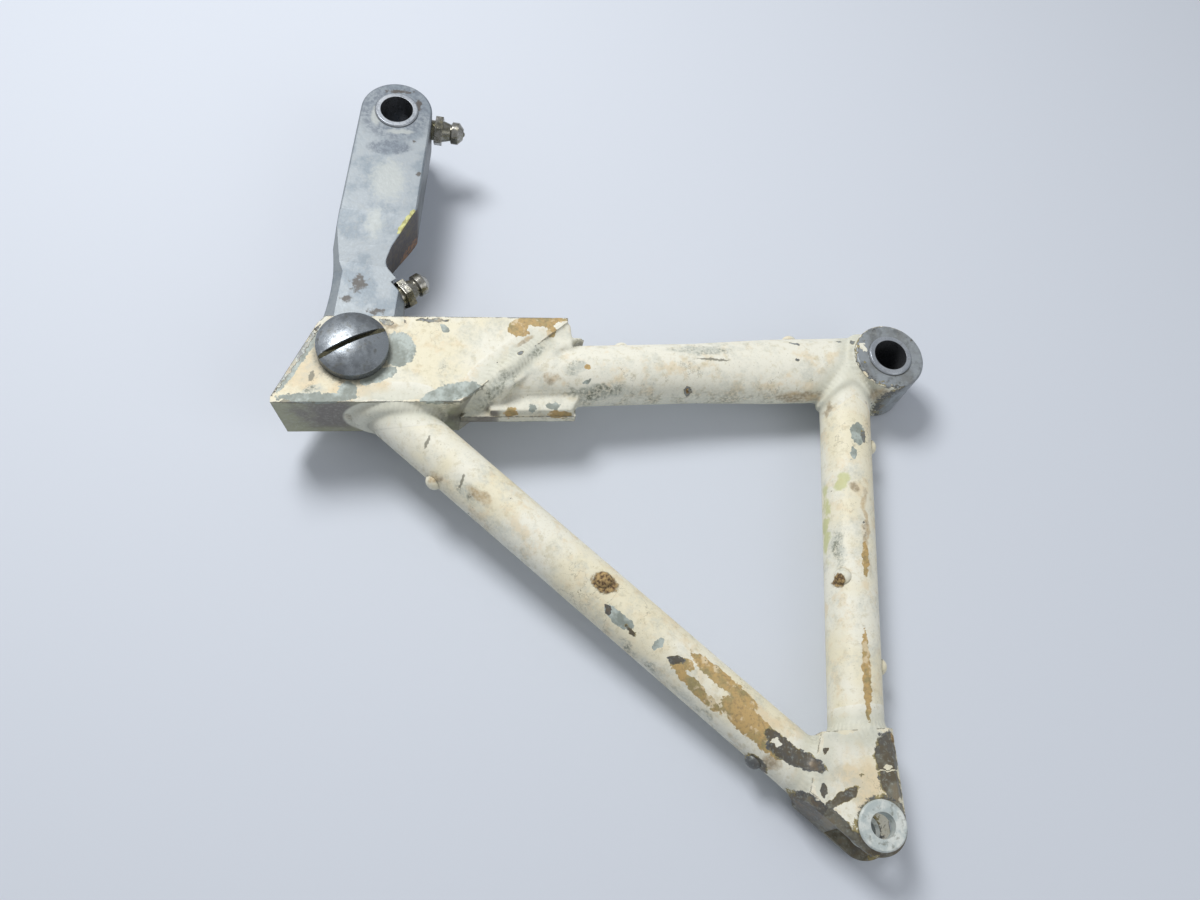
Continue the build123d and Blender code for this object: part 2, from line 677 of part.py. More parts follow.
def make_pin_washer():
    """Washer under the nut."""
    top = -HALF_FITTING
    body = upright(WASHER_DIAMETER / 2, top - WASHER_THICKNESS, top, PIN_CENTRE)
    return body - upright(PIN_DIAMETER / 2 + PIN_FIT, -REACH, REACH, PIN_CENTRE)


def make_pin_nut():
    """Castle nut with six slots and chamfered corners."""
    top = -HALF_FITTING - WASHER_THICKNESS
    bottom = top - NUT_HEIGHT
    corner_radius = NUT_ACROSS_FLATS / sqrt(3)
    body = extrude(RegularPolygon(corner_radius, 6), amount=NUT_HEIGHT)
    round_off = Cylinder(corner_radius, NUT_HEIGHT, align=(Align.CENTER, Align.CENTER, Align.MIN))
    rims = round_off.edges().filter_by(GeomType.CIRCLE)
    body &= chamfer(rims, corner_radius - NUT_ACROSS_FLATS / 2)
    for turn in range(3):
        cut = Box(NUT_ACROSS_FLATS * 2, CASTLE_WIDTH, CASTLE_DEPTH * 2)
        body -= Rot(0, 0, 60 * turn) * cut
    body = Pos(PIN_X, PIN_Y, bottom) * body
    return body - upright(PIN_DIAMETER / 2 + PIN_FIT, -REACH, REACH, PIN_CENTRE)


def make_pin_cotter():
    """Cotter through the nut's slots, its two legs bent up along the nut."""
    radius = COTTER_DIAMETER / 2
    side = NUT_ACROSS_FLATS / sqrt(3) + radius + COTTER_FIT
    leg = NUT_HEIGHT - CASTLE_DEPTH
    route = FilletPolyline(
        (-side, 0, leg), (-side, 0, 0), (side, 0, 0), (side, 0, leg), radius=COTTER_DIAMETER
    )
    section = Plane(origin=route @ 0, z_dir=route % 0) * Circle(radius)
    return Pos(PIN_X, PIN_Y, cotter_height()) * sweep(section, path=route.wire())


def arm_outline():
    """Plan of the link arm along X from the pin's centre: two round ends and their common flanks."""
    lean = degrees(acos((ARM_INNER_RADIUS - ARM_OUTER_RADIUS) / LINK_LENGTH))
    flank = radians(lean)
    inner = [(ARM_INNER_RADIUS * cos(a), ARM_INNER_RADIUS * sin(a)) for a in (flank, -flank)]
    outer = [
        (LINK_LENGTH + ARM_OUTER_RADIUS * cos(a), ARM_OUTER_RADIUS * sin(a))
        for a in (flank, -flank)
    ]
    outline = make_face(
        [
            Line(inner[0], outer[0]).edge(),
            ThreePointArc(outer[0], (LINK_LENGTH + ARM_OUTER_RADIUS, 0), outer[1]).edge(),
            Line(outer[1], inner[1]).edge(),
            ThreePointArc(inner[1], (-ARM_INNER_RADIUS, 0), inner[0]).edge(),
        ]
    )
    return outline


def right_scallop():
    """Notch in the arm's right flank, rounded at its waist, that clears the fitting's plates."""
    outside = ARM_INNER_RADIUS + SCALLOP_ROUND
    slope = (ARM_INNER_RADIUS - SCALLOP_BEND_OFFSET) / (SCALLOP_TOP - SCALLOP_BEND)
    top = SCALLOP_TOP + (outside - ARM_INNER_RADIUS) / slope
    shoulder = SHOULDER_ALONG - (outside - ARM_INNER_RADIUS)
    points = [
        (top, -outside),
        (SCALLOP_BEND, -SCALLOP_BEND_OFFSET),
        (SCALLOP_WAIST, -SCALLOP_WAIST_OFFSET),
        (shoulder, -outside),
    ]
    notch = make_face(Polyline(*points, close=True))
    waist = [v for v in notch.vertices() if abs(v.Y) < outside - SMALL]
    notch = fillet(waist, SCALLOP_ROUND)
    return extrude(notch, amount=ARM_THICKNESS, both=True)


def left_scallop():
    """Shallow hollow in the arm's left flank."""
    offset = ARM_INNER_RADIUS - SIDE_SCALLOP_DEPTH + SIDE_SCALLOP_RADIUS
    return Pos(SIDE_SCALLOP_MIDDLE, offset, 0) * Cylinder(SIDE_SCALLOP_RADIUS, REACH)


def arm_thinning():
    """What is cut off above the arm to thin it to a tongue, with a ramp up to full thickness."""
    points = [
        (-REACH, HALF_TONGUE),
        (ARM_RAMP_START, HALF_TONGUE),
        (ARM_RAMP_END, HALF_ARM),
        (ARM_RAMP_END, REACH),
        (-REACH, REACH),
    ]
    profile = make_face(Polyline(*points, close=True))
    return extrude(Plane.XZ * profile, amount=REACH, both=True)


def facet(width, bend, end, side):
    """Slanted facet along a flank of the tongue's top, which runs out at its far end."""

    def section(x, width_here, height_here, top):
        flank = side * (ARM_INNER_RADIUS + SCALLOP_ROUND)
        edge = side * (ARM_INNER_RADIUS - width_here)
        slope = height_here / width_here
        drop = slope * abs(flank - edge)
        points = [(edge, top), (flank, top - drop), (flank, top + ARM_THICKNESS), (edge, top + SMALL)]
        plane = Plane(origin=(x, 0, 0), x_dir=(0, 1, 0), z_dir=(1, 0, 0))
        return plane * make_face(Polyline(*points, close=True))

    start = section(-REACH / 4, width, FACET_HEIGHT, HALF_TONGUE)
    turn = section(bend, width, FACET_HEIGHT, HALF_TONGUE)
    body = loft([start, turn], ruled=True)
    share = max(0.0, min(1.0, (end - ARM_RAMP_START) / (ARM_RAMP_END - ARM_RAMP_START)))
    far_top = HALF_TONGUE + share * (HALF_ARM - HALF_TONGUE)
    if end > bend + SMALL:
        runout = section(end, width * SMALL, FACET_HEIGHT * SMALL, far_top)
        body += loft([turn, runout], ruled=True)
    return body


def grease_place(outer):
    """Seat of a grease fitting on the arm, with Z pointing out of it; outer picks the far one."""
    if outer:
        flank = ARM_OUTER_RADIUS
        point = (LINK_LENGTH + GREASE_OUTER_ALONG, -flank, GREASE_HEIGHT)
        outward = (0, -1, 0)
    else:
        rise = ARM_INNER_RADIUS - GREASE_INNER_ACROSS
        sink = SPOTFACE_DEPTH / sqrt(2)
        point = (SHOULDER_ALONG + rise - sink, sink - GREASE_INNER_ACROSS, GREASE_HEIGHT)
        outward = (1, -1, 0)
    return Plane(origin=point, x_dir=(0, 0, 1), z_dir=outward).location


def grease_passage(outer):
    """Drilled way from a grease fitting's stud to the bush beside it."""
    start = Vector(*grease_place(outer).position)
    target = Vector(LINK_LENGTH if outer else 0, 0, 0)
    stretch = target - start
    body = Cylinder(
        GREASE_PASSAGE / 2, stretch.length, align=(Align.CENTER, Align.CENTER, Align.MIN)
    )
    return Plane(origin=start, z_dir=stretch).location * body


def grease_stud_hole(outer):
    """Tapped hole for a grease fitting's stud."""
    body = Pos(0, 0, -GREASE_STUD_LENGTH) * Cylinder(
        GREASE_STUD_DIAMETER / 2, REACH / 8, align=(Align.CENTER, Align.CENTER, Align.MIN)
    )
    return grease_place(outer) * body


def spotface():
    """Round seat that lets the inner grease fitting down into the arm's shoulder."""
    body = Cylinder(SPOTFACE_DIAMETER / 2, REACH / 8, align=(Align.CENTER, Align.CENTER, Align.MIN))
    return grease_place(False) * body


def on_arm(body):
    """Moves what is drawn along the arm to where the link lies."""
    return Pos(PIN_X, PIN_Y, 0) * Rot(0, 0, LINK_ANGLE) * body


def inner_bush_diameter():
    """Outside of the bush that runs on the pin."""
    return PIN_DIAMETER + 2 * PIN_RUNNING_CLEARANCE + 2 * INNER_BUSH_WALL


def make_link_arm():
    """Link arm, thick outside the fitting and thinned to run in its pocket."""
    body = extrude(arm_outline(), amount=HALF_ARM, both=True)
    far_edges = [e for e in body.edges() if abs(abs(e.center().Z) - HALF_ARM) < SMALL]
    body = chamfer(far_edges, ARM_EDGE_CHAMFER)
    body -= right_scallop()
    body -= left_scallop()
    above = arm_thinning()
    above += facet(FACET_LEFT_WIDTH, FACET_LEFT_BEND, FACET_LEFT_END, 1)
    above += facet(FACET_RIGHT_WIDTH, FACET_RIGHT_END, FACET_RIGHT_END, -1)
    body -= above
    body -= mirror(above, about=Plane.XY)
    body -= Pos(LINK_LENGTH, 0, 0) * Cylinder(LINK_BUSH_DIAMETER / 2, REACH)
    body -= Cylinder(inner_bush_diameter() / 2, REACH)
    body -= spotface()
    for outer in (True, False):
        body -= grease_stud_hole(outer)
        body -= grease_passage(outer)
    return on_arm(body)


def make_outer_bush():
    """Bush in the arm's far eye."""
    body = bush(LINK_BUSH_DIAMETER, LINK_BORE, ARM_THICKNESS + 2 * LINK_BUSH_PROUD)
    return on_arm(Pos(LINK_LENGTH, 0, 0) * body - grease_passage(True))


def make_inner_bush():
    """Bush in the arm's pinned eye, which runs on the pin."""
    bore = PIN_DIAMETER + 2 * PIN_RUNNING_CLEARANCE
    body = bush(inner_bush_diameter(), bore, ARM_TONGUE_THICKNESS)
    return on_arm(body - grease_passage(False))


def grease_profile():
    """Half section of a grease fitting outside its hexagon."""
    head = GREASE_HEAD_DIAMETER / 2
    points = [
        (GREASE_BORE / 2, -GREASE_STUD_LENGTH),
        (GREASE_STUD_DIAMETER / 2, -GREASE_STUD_LENGTH),
        (GREASE_STUD_DIAMETER / 2, GREASE_COLLAR),
        (GREASE_CONE_DIAMETER / 2, GREASE_COLLAR + GREASE_HEX_LENGTH),
        (GREASE_NECK_DIAMETER / 2, GREASE_NECK_AT),
        (head, GREASE_HEAD_AT - 0.2 * GREASE_HEAD_DIAMETER),
        (head, GREASE_HEAD_AT + 0.1 * GREASE_HEAD_DIAMETER),
        (GREASE_TIP_DIAMETER / 2, GREASE_LENGTH),
        (GREASE_BORE / 2, GREASE_LENGTH),
    ]
    return make_face(Polyline(*points, close=True))


def make_grease_fitting(outer):
    """Grease fitting with its stud, hexagon, neck and head, and the seat of its check ball."""
    body = revolve(Plane.XZ * grease_profile(), axis=Axis.Z)
    hexagon = Rot(0, 0, 30) * RegularPolygon(GREASE_HEX_FLATS / sqrt(3), 6)
    nut = Pos(0, 0, GREASE_COLLAR) * extrude(hexagon, amount=GREASE_HEX_LENGTH)
    nut -= Cylinder(GREASE_BORE / 2, REACH)
    body += nut
    body -= grease_ball()
    return on_arm(grease_place(outer) * body)


def grease_ball():
    """Check ball in the tip of a grease fitting."""
    return Pos(0, 0, GREASE_LENGTH - GREASE_BALL_DIAMETER / 4) * Sphere(GREASE_BALL_DIAMETER / 2)


def make_grease_ball(outer):
    """Check ball of one grease fitting, where it seats."""
    return on_arm(grease_place(outer) * grease_ball())


def truss_pieces():
    """Pieces of the welded truss and of the pin that is fixed in it."""
    base = {
        "link_fitting": make_link_fitting(),
        "upper_tube": make_upper_tube(),
        "diagonal_tube": make_diagonal_tube(),
        "cross_tube": make_cross_tube(),
        "pivot_boss": make_pivot_boss(),
        "pivot_bush": make_pivot_bush(),
        "clevis_fitting": make_clevis_fitting(),
        "clevis_upper_bush": make_clevis_bush(1),
        "clevis_lower_bush": make_clevis_bush(-1),
        "link_pin": make_link_pin(),
        "link_pin_washer": make_pin_washer(),
        "link_pin_nut": make_pin_nut(),
        "link_pin_cotter": make_pin_cotter(),
    }
    boss_weld = make_boss_weld()
    base["scarf_weld"] = make_scarf_weld(base)
    base["diagonal_tube_weld"] = make_diagonal_weld(base)
    base["boss_weld"] = boss_weld
    base["cross_tube_weld"] = make_cross_weld(boss_weld)
    clevis_top = Vector(CLEVIS_X, CLEVIS_Y + CLEVIS_TOP, 0)
    down = Vector(0, -1, 0)
    base["clevis_cross_weld"] = make_clevis_weld(CROSS_TOP, CROSS_DIRECTION, clevis_top, down, base)
    point, normal = clevis_cut_edge()
    base["clevis_diagonal_weld"] = make_clevis_weld(
        DIAGONAL_TOP, DIAGONAL_DIRECTION, point, normal, base
    )
    return base


def plug_pieces():
    """Drive screws of the three tubes, one node for each tube."""
    tube = upper_tube_shape()
    oval = plug_set(UPPER_START, UPPER_DIRECTION, UPPER_OVAL_PLUGS, UPPER_OVAL_WIDTH / 2, tube)
    round_end = plug_set(UPPER_START, UPPER_DIRECTION, UPPER_ROUND_PLUGS, UPPER_TUBE_DIAMETER / 2, tube)
    radius = BRACE_DIAMETER / 2
    diagonal = plug_set(
        DIAGONAL_TOP, DIAGONAL_DIRECTION, DIAGONAL_PLUGS, radius, whole_diagonal()
    )
    cross = plug_set(CROSS_TOP, CROSS_DIRECTION, CROSS_PLUGS, radius, whole_cross())
    return {
        "upper_tube_plugs": Compound(children=oval + round_end),
        "diagonal_tube_plugs": Compound(children=diagonal),
        "cross_tube_plugs": Compound(children=cross),
    }


def link_pieces():
    """Pieces that swing with the link."""
    return {
        "link_arm": make_link_arm(),
        "link_outer_bush": make_outer_bush(),
        "link_inner_bush": make_inner_bush(),
        "outer_grease_fitting": make_grease_fitting(True),
        "inner_grease_fitting": make_grease_fitting(False),
        "outer_grease_ball": make_grease_ball(True),
        "inner_grease_ball": make_grease_ball(False),
    }


def main():
    os.makedirs("parts", exist_ok=True)
    pieces = {**truss_pieces(), **plug_pieces(), **link_pieces()}
    for name, piece in pieces.items():
        export_step(piece, f"parts/{name}.step")


main()
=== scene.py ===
import bmesh
import bpy
import numpy as np
from math import cos, hypot, radians, sin, tau
from mathutils import Matrix, Vector, noise
from mathutils.bvhtree import BVHTree
from mathutils.kdtree import KDTree

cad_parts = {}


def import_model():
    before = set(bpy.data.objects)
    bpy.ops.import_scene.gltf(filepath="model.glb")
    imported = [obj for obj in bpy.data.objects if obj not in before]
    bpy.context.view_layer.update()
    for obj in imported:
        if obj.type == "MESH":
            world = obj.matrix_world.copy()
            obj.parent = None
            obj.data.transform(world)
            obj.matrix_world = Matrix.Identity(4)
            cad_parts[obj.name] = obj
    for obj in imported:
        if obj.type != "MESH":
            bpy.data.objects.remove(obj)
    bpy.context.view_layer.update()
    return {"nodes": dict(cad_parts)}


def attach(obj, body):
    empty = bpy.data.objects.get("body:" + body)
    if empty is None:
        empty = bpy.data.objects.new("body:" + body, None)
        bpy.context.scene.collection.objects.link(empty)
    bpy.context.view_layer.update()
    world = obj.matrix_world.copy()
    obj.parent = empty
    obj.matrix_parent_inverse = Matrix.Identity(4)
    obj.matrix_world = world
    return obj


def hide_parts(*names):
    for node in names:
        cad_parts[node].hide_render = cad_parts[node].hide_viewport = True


# Lengths and places are in millimetres, in the truss frame
MM = 0.001

# Camera of the photograph
CAMERA_PLACE = (-137.6, -146.5, 273.0)
CAMERA_RIGHT = (0.985, -0.0795, 0.151)
CAMERA_UP = (0.0104, 0.9114, 0.409)
CAMERA_LENS = 33.0
CAMERA_SENSOR = 36.0
CAMERA_CLIP_START = 10.0

# Lamps: place, size and power; all aim at the middle of the truss
LAMP_AIM = (-80.0, -30.0, 0.0)
LAMPS = {
    "key": ((-300.0, 280.0, 520.0), 220.0, 2.9),
    "fill": ((260.0, -330.0, 380.0), 400.0, 0.5),
}
ROOM_COLOUR = (0.93, 0.96, 1.0, 1.0)
ROOM_STRENGTH = 0.36

# What the truss lies on: the boss's bush, the pin's tail and the clevis's bush
FLOOR_POINTS = ((0.0, 0.0, -10.3), (-152.4, 2.0, -19.0), (-26.3, -128.0, -8.3))
FLOOR_SIZE = 3000.0
FLOOR_COLOUR = (0.66, 0.70, 0.77)
FLOOR_ROUGHNESS = 0.75

# The truss's tubes and the planes that cut them, as in the CAD model
BOSS_RADIUS = 10.3
UPPER_TILT = radians(1.55)
UPPER_START = Vector((0.0, 0.8, 0.0))
UPPER_DIRECTION = Vector((-cos(UPPER_TILT), -sin(UPPER_TILT), 0.0))
UPPER_RADIUS = 8.6
OVAL_HALF_WIDTH = 9.8
OVAL_HALF_HEIGHT = 7.8
BRACE_RADIUS = 7.15
SCARF_ANGLE = radians(39.2)
SCARF_FRONT = Vector((-124.0, -14.0, 0.0))
SCARF_NORMAL = Vector((sin(SCARF_ANGLE), -cos(SCARF_ANGLE), 0.0))
WEB_Y = -14.0
DIAGONAL_TOP = Vector((-141.2, WEB_Y, 0.0))
DIAGONAL_DIRECTION = Vector((0.7111, -0.7031, 0.0)).normalized()
CROSS_TOP = Vector((-10.8, 0.0, 0.0))
CROSS_AIM = Vector((-29.2, -128.0, 0.0))
CROSS_DIRECTION = (CROSS_AIM - CROSS_TOP).normalized()
CLEVIS_TOP_Y = -105.0
CLEVIS_CORNERS = (Vector((-43.8, -120.8, 0.0)), Vector((-37.9, -105.0, 0.0)))

# Weld lines: how many points, how often the search for each halves, where on the tubes the searches
# start, and how far inside a tube's wall a point counts as hidden
SEAM_POINTS = 360
SEAM_HALVINGS = 30
WEB_SEAM_START = DIAGONAL_TOP - DIAGONAL_DIRECTION * 12
SCARF_SEAM_START = UPPER_START + UPPER_DIRECTION * 140
SIDE_SEAM_START = DIAGONAL_TOP + DIAGONAL_DIRECTION * 160
TUBE_MARGIN = 0.5

# Weld skins: voxel, how far they reach from the weld line and the CAD bead, how far they stand proud
# and dip in at the rim, and the distances over which they dip and the beads' paint fades
VOXEL = 0.32
SKIN_REACH = 7.5
SKIN_PROUD = 0.05
SKIN_TUCK = 0.25
SKIN_MARGIN = 2.6
WELD_SEARCH = 3 * SKIN_REACH
SAME_PLACE = 1e-6
SKIN_DIP = (SKIN_REACH - 1.4, SKIN_REACH - 0.4)
BEAD_FADE = (2.6, SKIN_REACH - 1.4)

# Blending of a bead into its neighbours: how it fades past the weld line's bead and away from the CAD
# bead, how many rounds it takes and how hard each one pulls
BLEND_FADE = 2.2
WELD_FADE = (0.4, 1.6)
BLEND_ROUNDS = 14
CLEVIS_BLEND_ROUNDS = 22
BLEND_PULL = 0.6

# Ripples of a bead: pitch and height, how they bow and wander, how even their height is, where their
# troughs lie, and the shares of the bead's width over which they fade
RIPPLE_PITCH = 1.25
RIPPLE_HEIGHT = 0.22
RIPPLE_BOW = 0.10
RIPPLE_WANDER = 0.5
WANDER_SIZE = 3.0
RIPPLE_EVEN = 0.8
RIPPLE_UNEVEN = 0.6
RIPPLE_TROUGH = 0.4
RIPPLE_FADE = (0.75, 1.15)

# Nodes under the cream paint
PAINTED = (
    "link_fitting", "upper_tube", "diagonal_tube", "cross_tube", "pivot_boss", "clevis_fitting",
    "upper_tube_plugs", "diagonal_tube_plugs", "cross_tube_plugs", "scarf_weld", "diagonal_tube_weld",
    "boss_weld", "cross_tube_weld", "clevis_cross_weld", "clevis_diagonal_weld",
)

# Colours of the paint and what is under and on it, of which the grimes also serve as painted shade
CREAM = (0.86, 0.80, 0.60)
PALE_CREAM = (0.88, 0.86, 0.74)
WARM_CREAM = (0.80, 0.665, 0.44)
GREY_PAINT = (0.56, 0.58, 0.51)
WELD_PAINT = (0.72, 0.72, 0.60)
GRIME_AND_SHADE = (0.21, 0.20, 0.15)
OLIVE_GRIME_AND_SHADE = (0.175, 0.185, 0.13)
# Dirt and painted shade on the fitting's front faces, olive and purple
FRONT_GRIME_AND_SHADE = (0.34, 0.345, 0.235)
PURPLE_GRIME_AND_SHADE = (0.19, 0.175, 0.165)
UNDERCOAT = (0.28, 0.315, 0.28)
PALE_UNDERCOAT = (0.50, 0.56, 0.52)
PRIMER = (0.56, 0.385, 0.16)
OLIVE_PRIMER = (0.36, 0.30, 0.14)
YELLOW_GREEN = (0.56, 0.58, 0.24)
OCHRE = (0.52, 0.36, 0.16)
BROWN = (0.25, 0.18, 0.10)
DARK_RUST = (0.11, 0.065, 0.035)
SAND = (0.60, 0.54, 0.36)
BARE_STEEL = (0.27, 0.29, 0.30)
GREEN_STEEL = (0.27, 0.27, 0.22)
BRONZE_STEEL = (0.15, 0.125, 0.085)
FACE_STEEL = (0.355, 0.385, 0.41)
DARK_STEEL = (0.13, 0.135, 0.135)

# Colours of the link arm's metal, its dirt, and its painted shade
ARM_SILVER = (0.33, 0.365, 0.39)
ARM_GREY = (0.235, 0.275, 0.31)
ARM_BLUE = (0.14, 0.165, 0.20)
ARM_FLECKS = (0.37, 0.395, 0.40)
ARM_WHITE = (0.43, 0.455, 0.44)
# Painted shade on the side walls
WALL_SHADE_DARK = (0.12, 0.13, 0.14)
WALL_SHADE_GREY = (0.23, 0.245, 0.255)
CHIP_YELLOW = (0.48, 0.48, 0.20)
CHIP_OLIVE = (0.30, 0.28, 0.11)
# Painted shade in the notch
NOTCH_SHADE_BLACK = (0.045, 0.038, 0.045)
NOTCH_SHADE_BROWN = (0.11, 0.085, 0.06)
ORANGE_STAIN = (0.36, 0.18, 0.08)
SMUDGE = (0.075, 0.062, 0.05)
# Painted shade in the corners
CORNER_SHADE = (0.10, 0.09, 0.07)

# Colour of the painted shade inside a bore, and colours of the dirt in the pin's slot
BORE_SHADE = (0.012, 0.010, 0.009)
SLOT_OLIVE = (0.085, 0.078, 0.04)
SLOT_BLACK = (0.03, 0.03, 0.02)

# Noises: size in millimetres, detail, roughness and seed
FINE_NOISE = (0.8, 4.0, 0.65, 0.0)
MEDIUM_NOISE = (4.5, 5.0, 0.62, 2.0)
BROAD_NOISE = (20.0, 3.0, 0.55, 5.0)
SAND_NOISE = (1.8, 5.0, 0.72, 15.0)
MOTTLE_NOISE = (7.0, 6.0, 0.7, 9.0)
SPECK_NOISE = (0.5, 2.0, 0.7, 3.0)
CHIP_NOISE = (2.6, 5.0, 0.62, 12.0)
HAIR_NOISE = (12.0, 6.0, 0.6, 21.0)
PEEL_NOISE = (1.3, 4.0, 0.55, 4.0)
GRAIN_NOISE = (0.5, 2.0, 0.6, 8.0)
ARM_BROAD_NOISE = (9.0, 5.0, 0.62, 1.0)
ARM_FINE_NOISE = (1.2, 4.0, 0.65, 3.0)

# How far the borders of listed places are moved about, over what size, and how finely
CHIP_BORDER = (2.2, 1.5)
STAIN_BORDER = (5.0, 4.0)
ARM_BORDER = (2.0, 1.6)
BORDER_DETAIL = 4.0

# Directions that surfaces may face
FRONT = (0.0, -1.0, 0.0)
FRONT_AND_BELOW = (0.0, -1.0, -0.55)
ABOVE = (0.0, 0.0, 1.0)

# Rounding of edges, height of the relief, and samples of the edge and corner searches
PAINT_EDGE = 0.3
METAL_EDGE = 0.25
PAINT_RELIEF = 0.16
METAL_RELIEF = 0.05
ARM_RELIEF = 0.10
SEARCH_SAMPLES = 6

# Look of the paint: the steel's two colours, how brown it is, the cream, and the painted shade on faces
# that look down or to the front. First what all share, then the weld skins, then single nodes and skins
PLAIN_LOOK = {"steels": (BARE_STEEL, GREEN_STEEL), "steel_rust": 0.5, "cream": CREAM, "underside_shade": 0.5}
SKIN_LOOK = {"cream": PALE_CREAM, "underside_shade": 0.4}
LOOKS = {
    "link_fitting": {"steels": (DARK_STEEL, GREEN_STEEL)},
    "clevis_welds": {"steels": (BRONZE_STEEL, DARK_STEEL), "steel_rust": 0.6},
    "pivot_boss": {"steels": (FACE_STEEL, BARE_STEEL), "steel_rust": 0.1},
    "clevis_fitting": {"steels": (BRONZE_STEEL, GREEN_STEEL), "steel_rust": 0.55},
    "diagonal_tube": {"steels": (BRONZE_STEEL, DARK_STEEL), "steel_rust": 0.6},
    "diagonal_tube_plugs": {"steels": (DARK_STEEL, DARK_STEEL), "steel_rust": 0.2},
    "upper_tube": {"cream": PALE_CREAM, "underside_shade": 0.6},
}

# Places in the truss frame, here and below: x, y, z, half length, half width, half depth and turn
# about Z in degrees. First the paint that is gone down to steel, with painted shade in the clevis's gap
BARE_AND_GAP_SHADE = (
    (-166.9, -1.3, 9.0, 12.0, 0.7, 1.6, 61.0),
    (-143.4, 10.2, 9.0, 1.8, 0.9, 2.0, -10.0),
    (-131.0, 10.9, 9.0, 4.4, 0.6, 2.0, 0.0),
    (-107.4, 0.3, 9.0, 0.9, 1.3, 2.0, -35.0),
    (-60.0, -8.4, 4.0, 1.1, 1.1, 3.0, 0.0),
    (-27.1, 5.6, 7.0, 1.6, 0.5, 3.0, -20.0),
    (-27.6, -0.5, 7.6, 0.6, 0.5, 2.0, 0.0),
    (-10.0, 5.4, 7.0, 0.7, 0.9, 3.0, 0.0),
    (-13.1, 6.8, 7.0, 0.8, 0.5, 3.0, 0.0),
    (0.0, 0.0, 9.9, 12.5, 12.5, 1.3, 0.0),
    (0.0, 0.0, -9.9, 12.5, 12.5, 1.3, 0.0),
    (7.0, -3.0, 0.0, 11.5, 12.2, 15.0, 0.0),
    (-11.6, -24.2, 6.0, 2.0, 1.0, 3.0, 82.0),
    (-88.6, -71.6, 7.0, 1.9, 0.7, 3.0, -70.0),
    (-83.2, -77.2, 7.0, 2.0, 0.6, 3.0, -50.0),
    (-72.4, -85.4, 7.0, 2.2, 1.1, 3.0, -10.0),
    (-53.6, -110.9, 0.0, 3.4, 3.4, 3.4, 0.0),
    (-45.2, -110.6, 7.0, 7.8, 2.2, 4.0, -27.0),
    (-48.6, -107.0, 7.0, 5.0, 1.7, 4.0, -44.0),
    (-21.2, -111.6, 7.5, 5.8, 4.0, 2.0, 75.0),
    (-21.4, -118.8, 7.5, 5.0, 3.3, 2.0, -58.0),
    (-24.8, -129.6, 7.0, 8.8, 8.8, 2.0, 0.0),
    # Painted shade: the inside of the clevis's gap shown as dark bare steel
    (-32.0, -129.0, 0.0, 14.0, 14.0, 6.9, 0.0),
    (-35.2, -120.9, 7.5, 5.4, 1.4, 2.0, 24.0),
    (-39.6, -119.0, 7.5, 1.6, 0.8, 2.0, 80.0),
    (-37.5, -109.6, 7.2, 0.9, 0.6, 2.0, 60.0),
    (-37.6, -127.0, 0.0, 13.0, 2.2, 24.0, -44.4),
)

# Grey-green undercoat that shows where the cream has flaked
UNDERCOATED = (
    (-140.2, 1.8, 9.0, 4.6, 5.6, 2.0, 0.0),
    (-145.6, -6.2, 9.0, 5.6, 2.0, 2.0, 24.0),
    (-153.5, -10.8, 9.0, 2.6, 2.9, 2.0, 0.0),
    (-161.0, -12.7, 9.0, 11.0, 1.4, 1.6, 0.0),
    (-166.2, -1.3, 9.0, 11.5, 1.4, 1.6, 61.0),
    (-126.6, -11.4, 9.0, 8.6, 2.6, 2.0, 16.0),
    (-127.8, 8.4, 9.0, 0.9, 1.6, 2.0, 30.0),
    (-98.4, -12.7, 3.0, 2.2, 1.2, 3.0, 0.0),
    (-104.4, -13.2, 3.0, 1.0, 1.3, 3.0, 0.0),
    (-89.4, -6.9, 8.0, 1.5, 0.9, 2.0, 20.0),
    (-13.2, -23.4, 7.0, 3.6, 2.3, 3.0, 82.0),
    (-15.7, -29.6, 7.0, 2.2, 0.9, 3.0, 82.0),
    (-86.2, -74.0, 7.0, 5.2, 1.8, 3.0, -45.0),
    (-76.6, -81.1, 7.0, 1.8, 1.0, 3.0, 30.0),
)

# Front faces of the fitting, under dark olive dirt and painted shade
FRONTED_AND_SHADED = (
    (-156.0, -13.5, 0.0, 26.0, 7.0, 18.0, 0.0),
    (-121.0, -13.6, -1.0, 9.0, 5.0, 12.0, 0.0),
    (-112.0, -12.5, -6.0, 7.0, 4.0, 5.0, 0.0),
)

# Where that dirt and painted shade turn purple
PURPLED = ((-157.0, -13.5, 2.0, 10.0, 8.0, 9.0, 0.0), (-117.0, -13.5, 0.0, 8.0, 6.0, 10.0, 0.0))

# Ochre primer that shows through
PRIMED = (
    (-101.2, 10.8, 9.0, 8.4, 1.7, 2.0, 0.0),
    (-107.4, 8.6, 9.0, 3.0, 2.8, 2.0, -25.0),
    (-98.4, 8.6, 9.0, 1.5, 2.8, 2.0, 0.0),
    (-110.3, -13.9, 2.0, 2.3, 1.2, 2.0, 0.0),
    (-96.9, -14.2, 1.5, 3.8, 1.1, 2.0, 0.0),
    (-60.8, -91.2, 7.0, 11.4, 2.2, 4.0, -43.0),
    (-67.6, -93.0, 7.0, 9.6, 1.3, 4.0, -48.0),
    (-71.0, -86.4, 7.0, 3.2, 1.7, 4.0, -20.0),
    (-56.2, -101.3, 7.0, 8.8, 3.2, 4.0, -44.0),
    (-51.0, -106.8, 7.0, 6.6, 2.8, 4.0, -42.0),
    (-89.1, -3.2, 8.5, 0.9, 0.9, 2.0, 0.0),
    (-23.3, -91.5, 6.0, 13.0, 1.2, 4.0, 82.0),
    (-17.8, -60.5, 6.0, 5.5, 1.0, 4.0, 82.0),
)

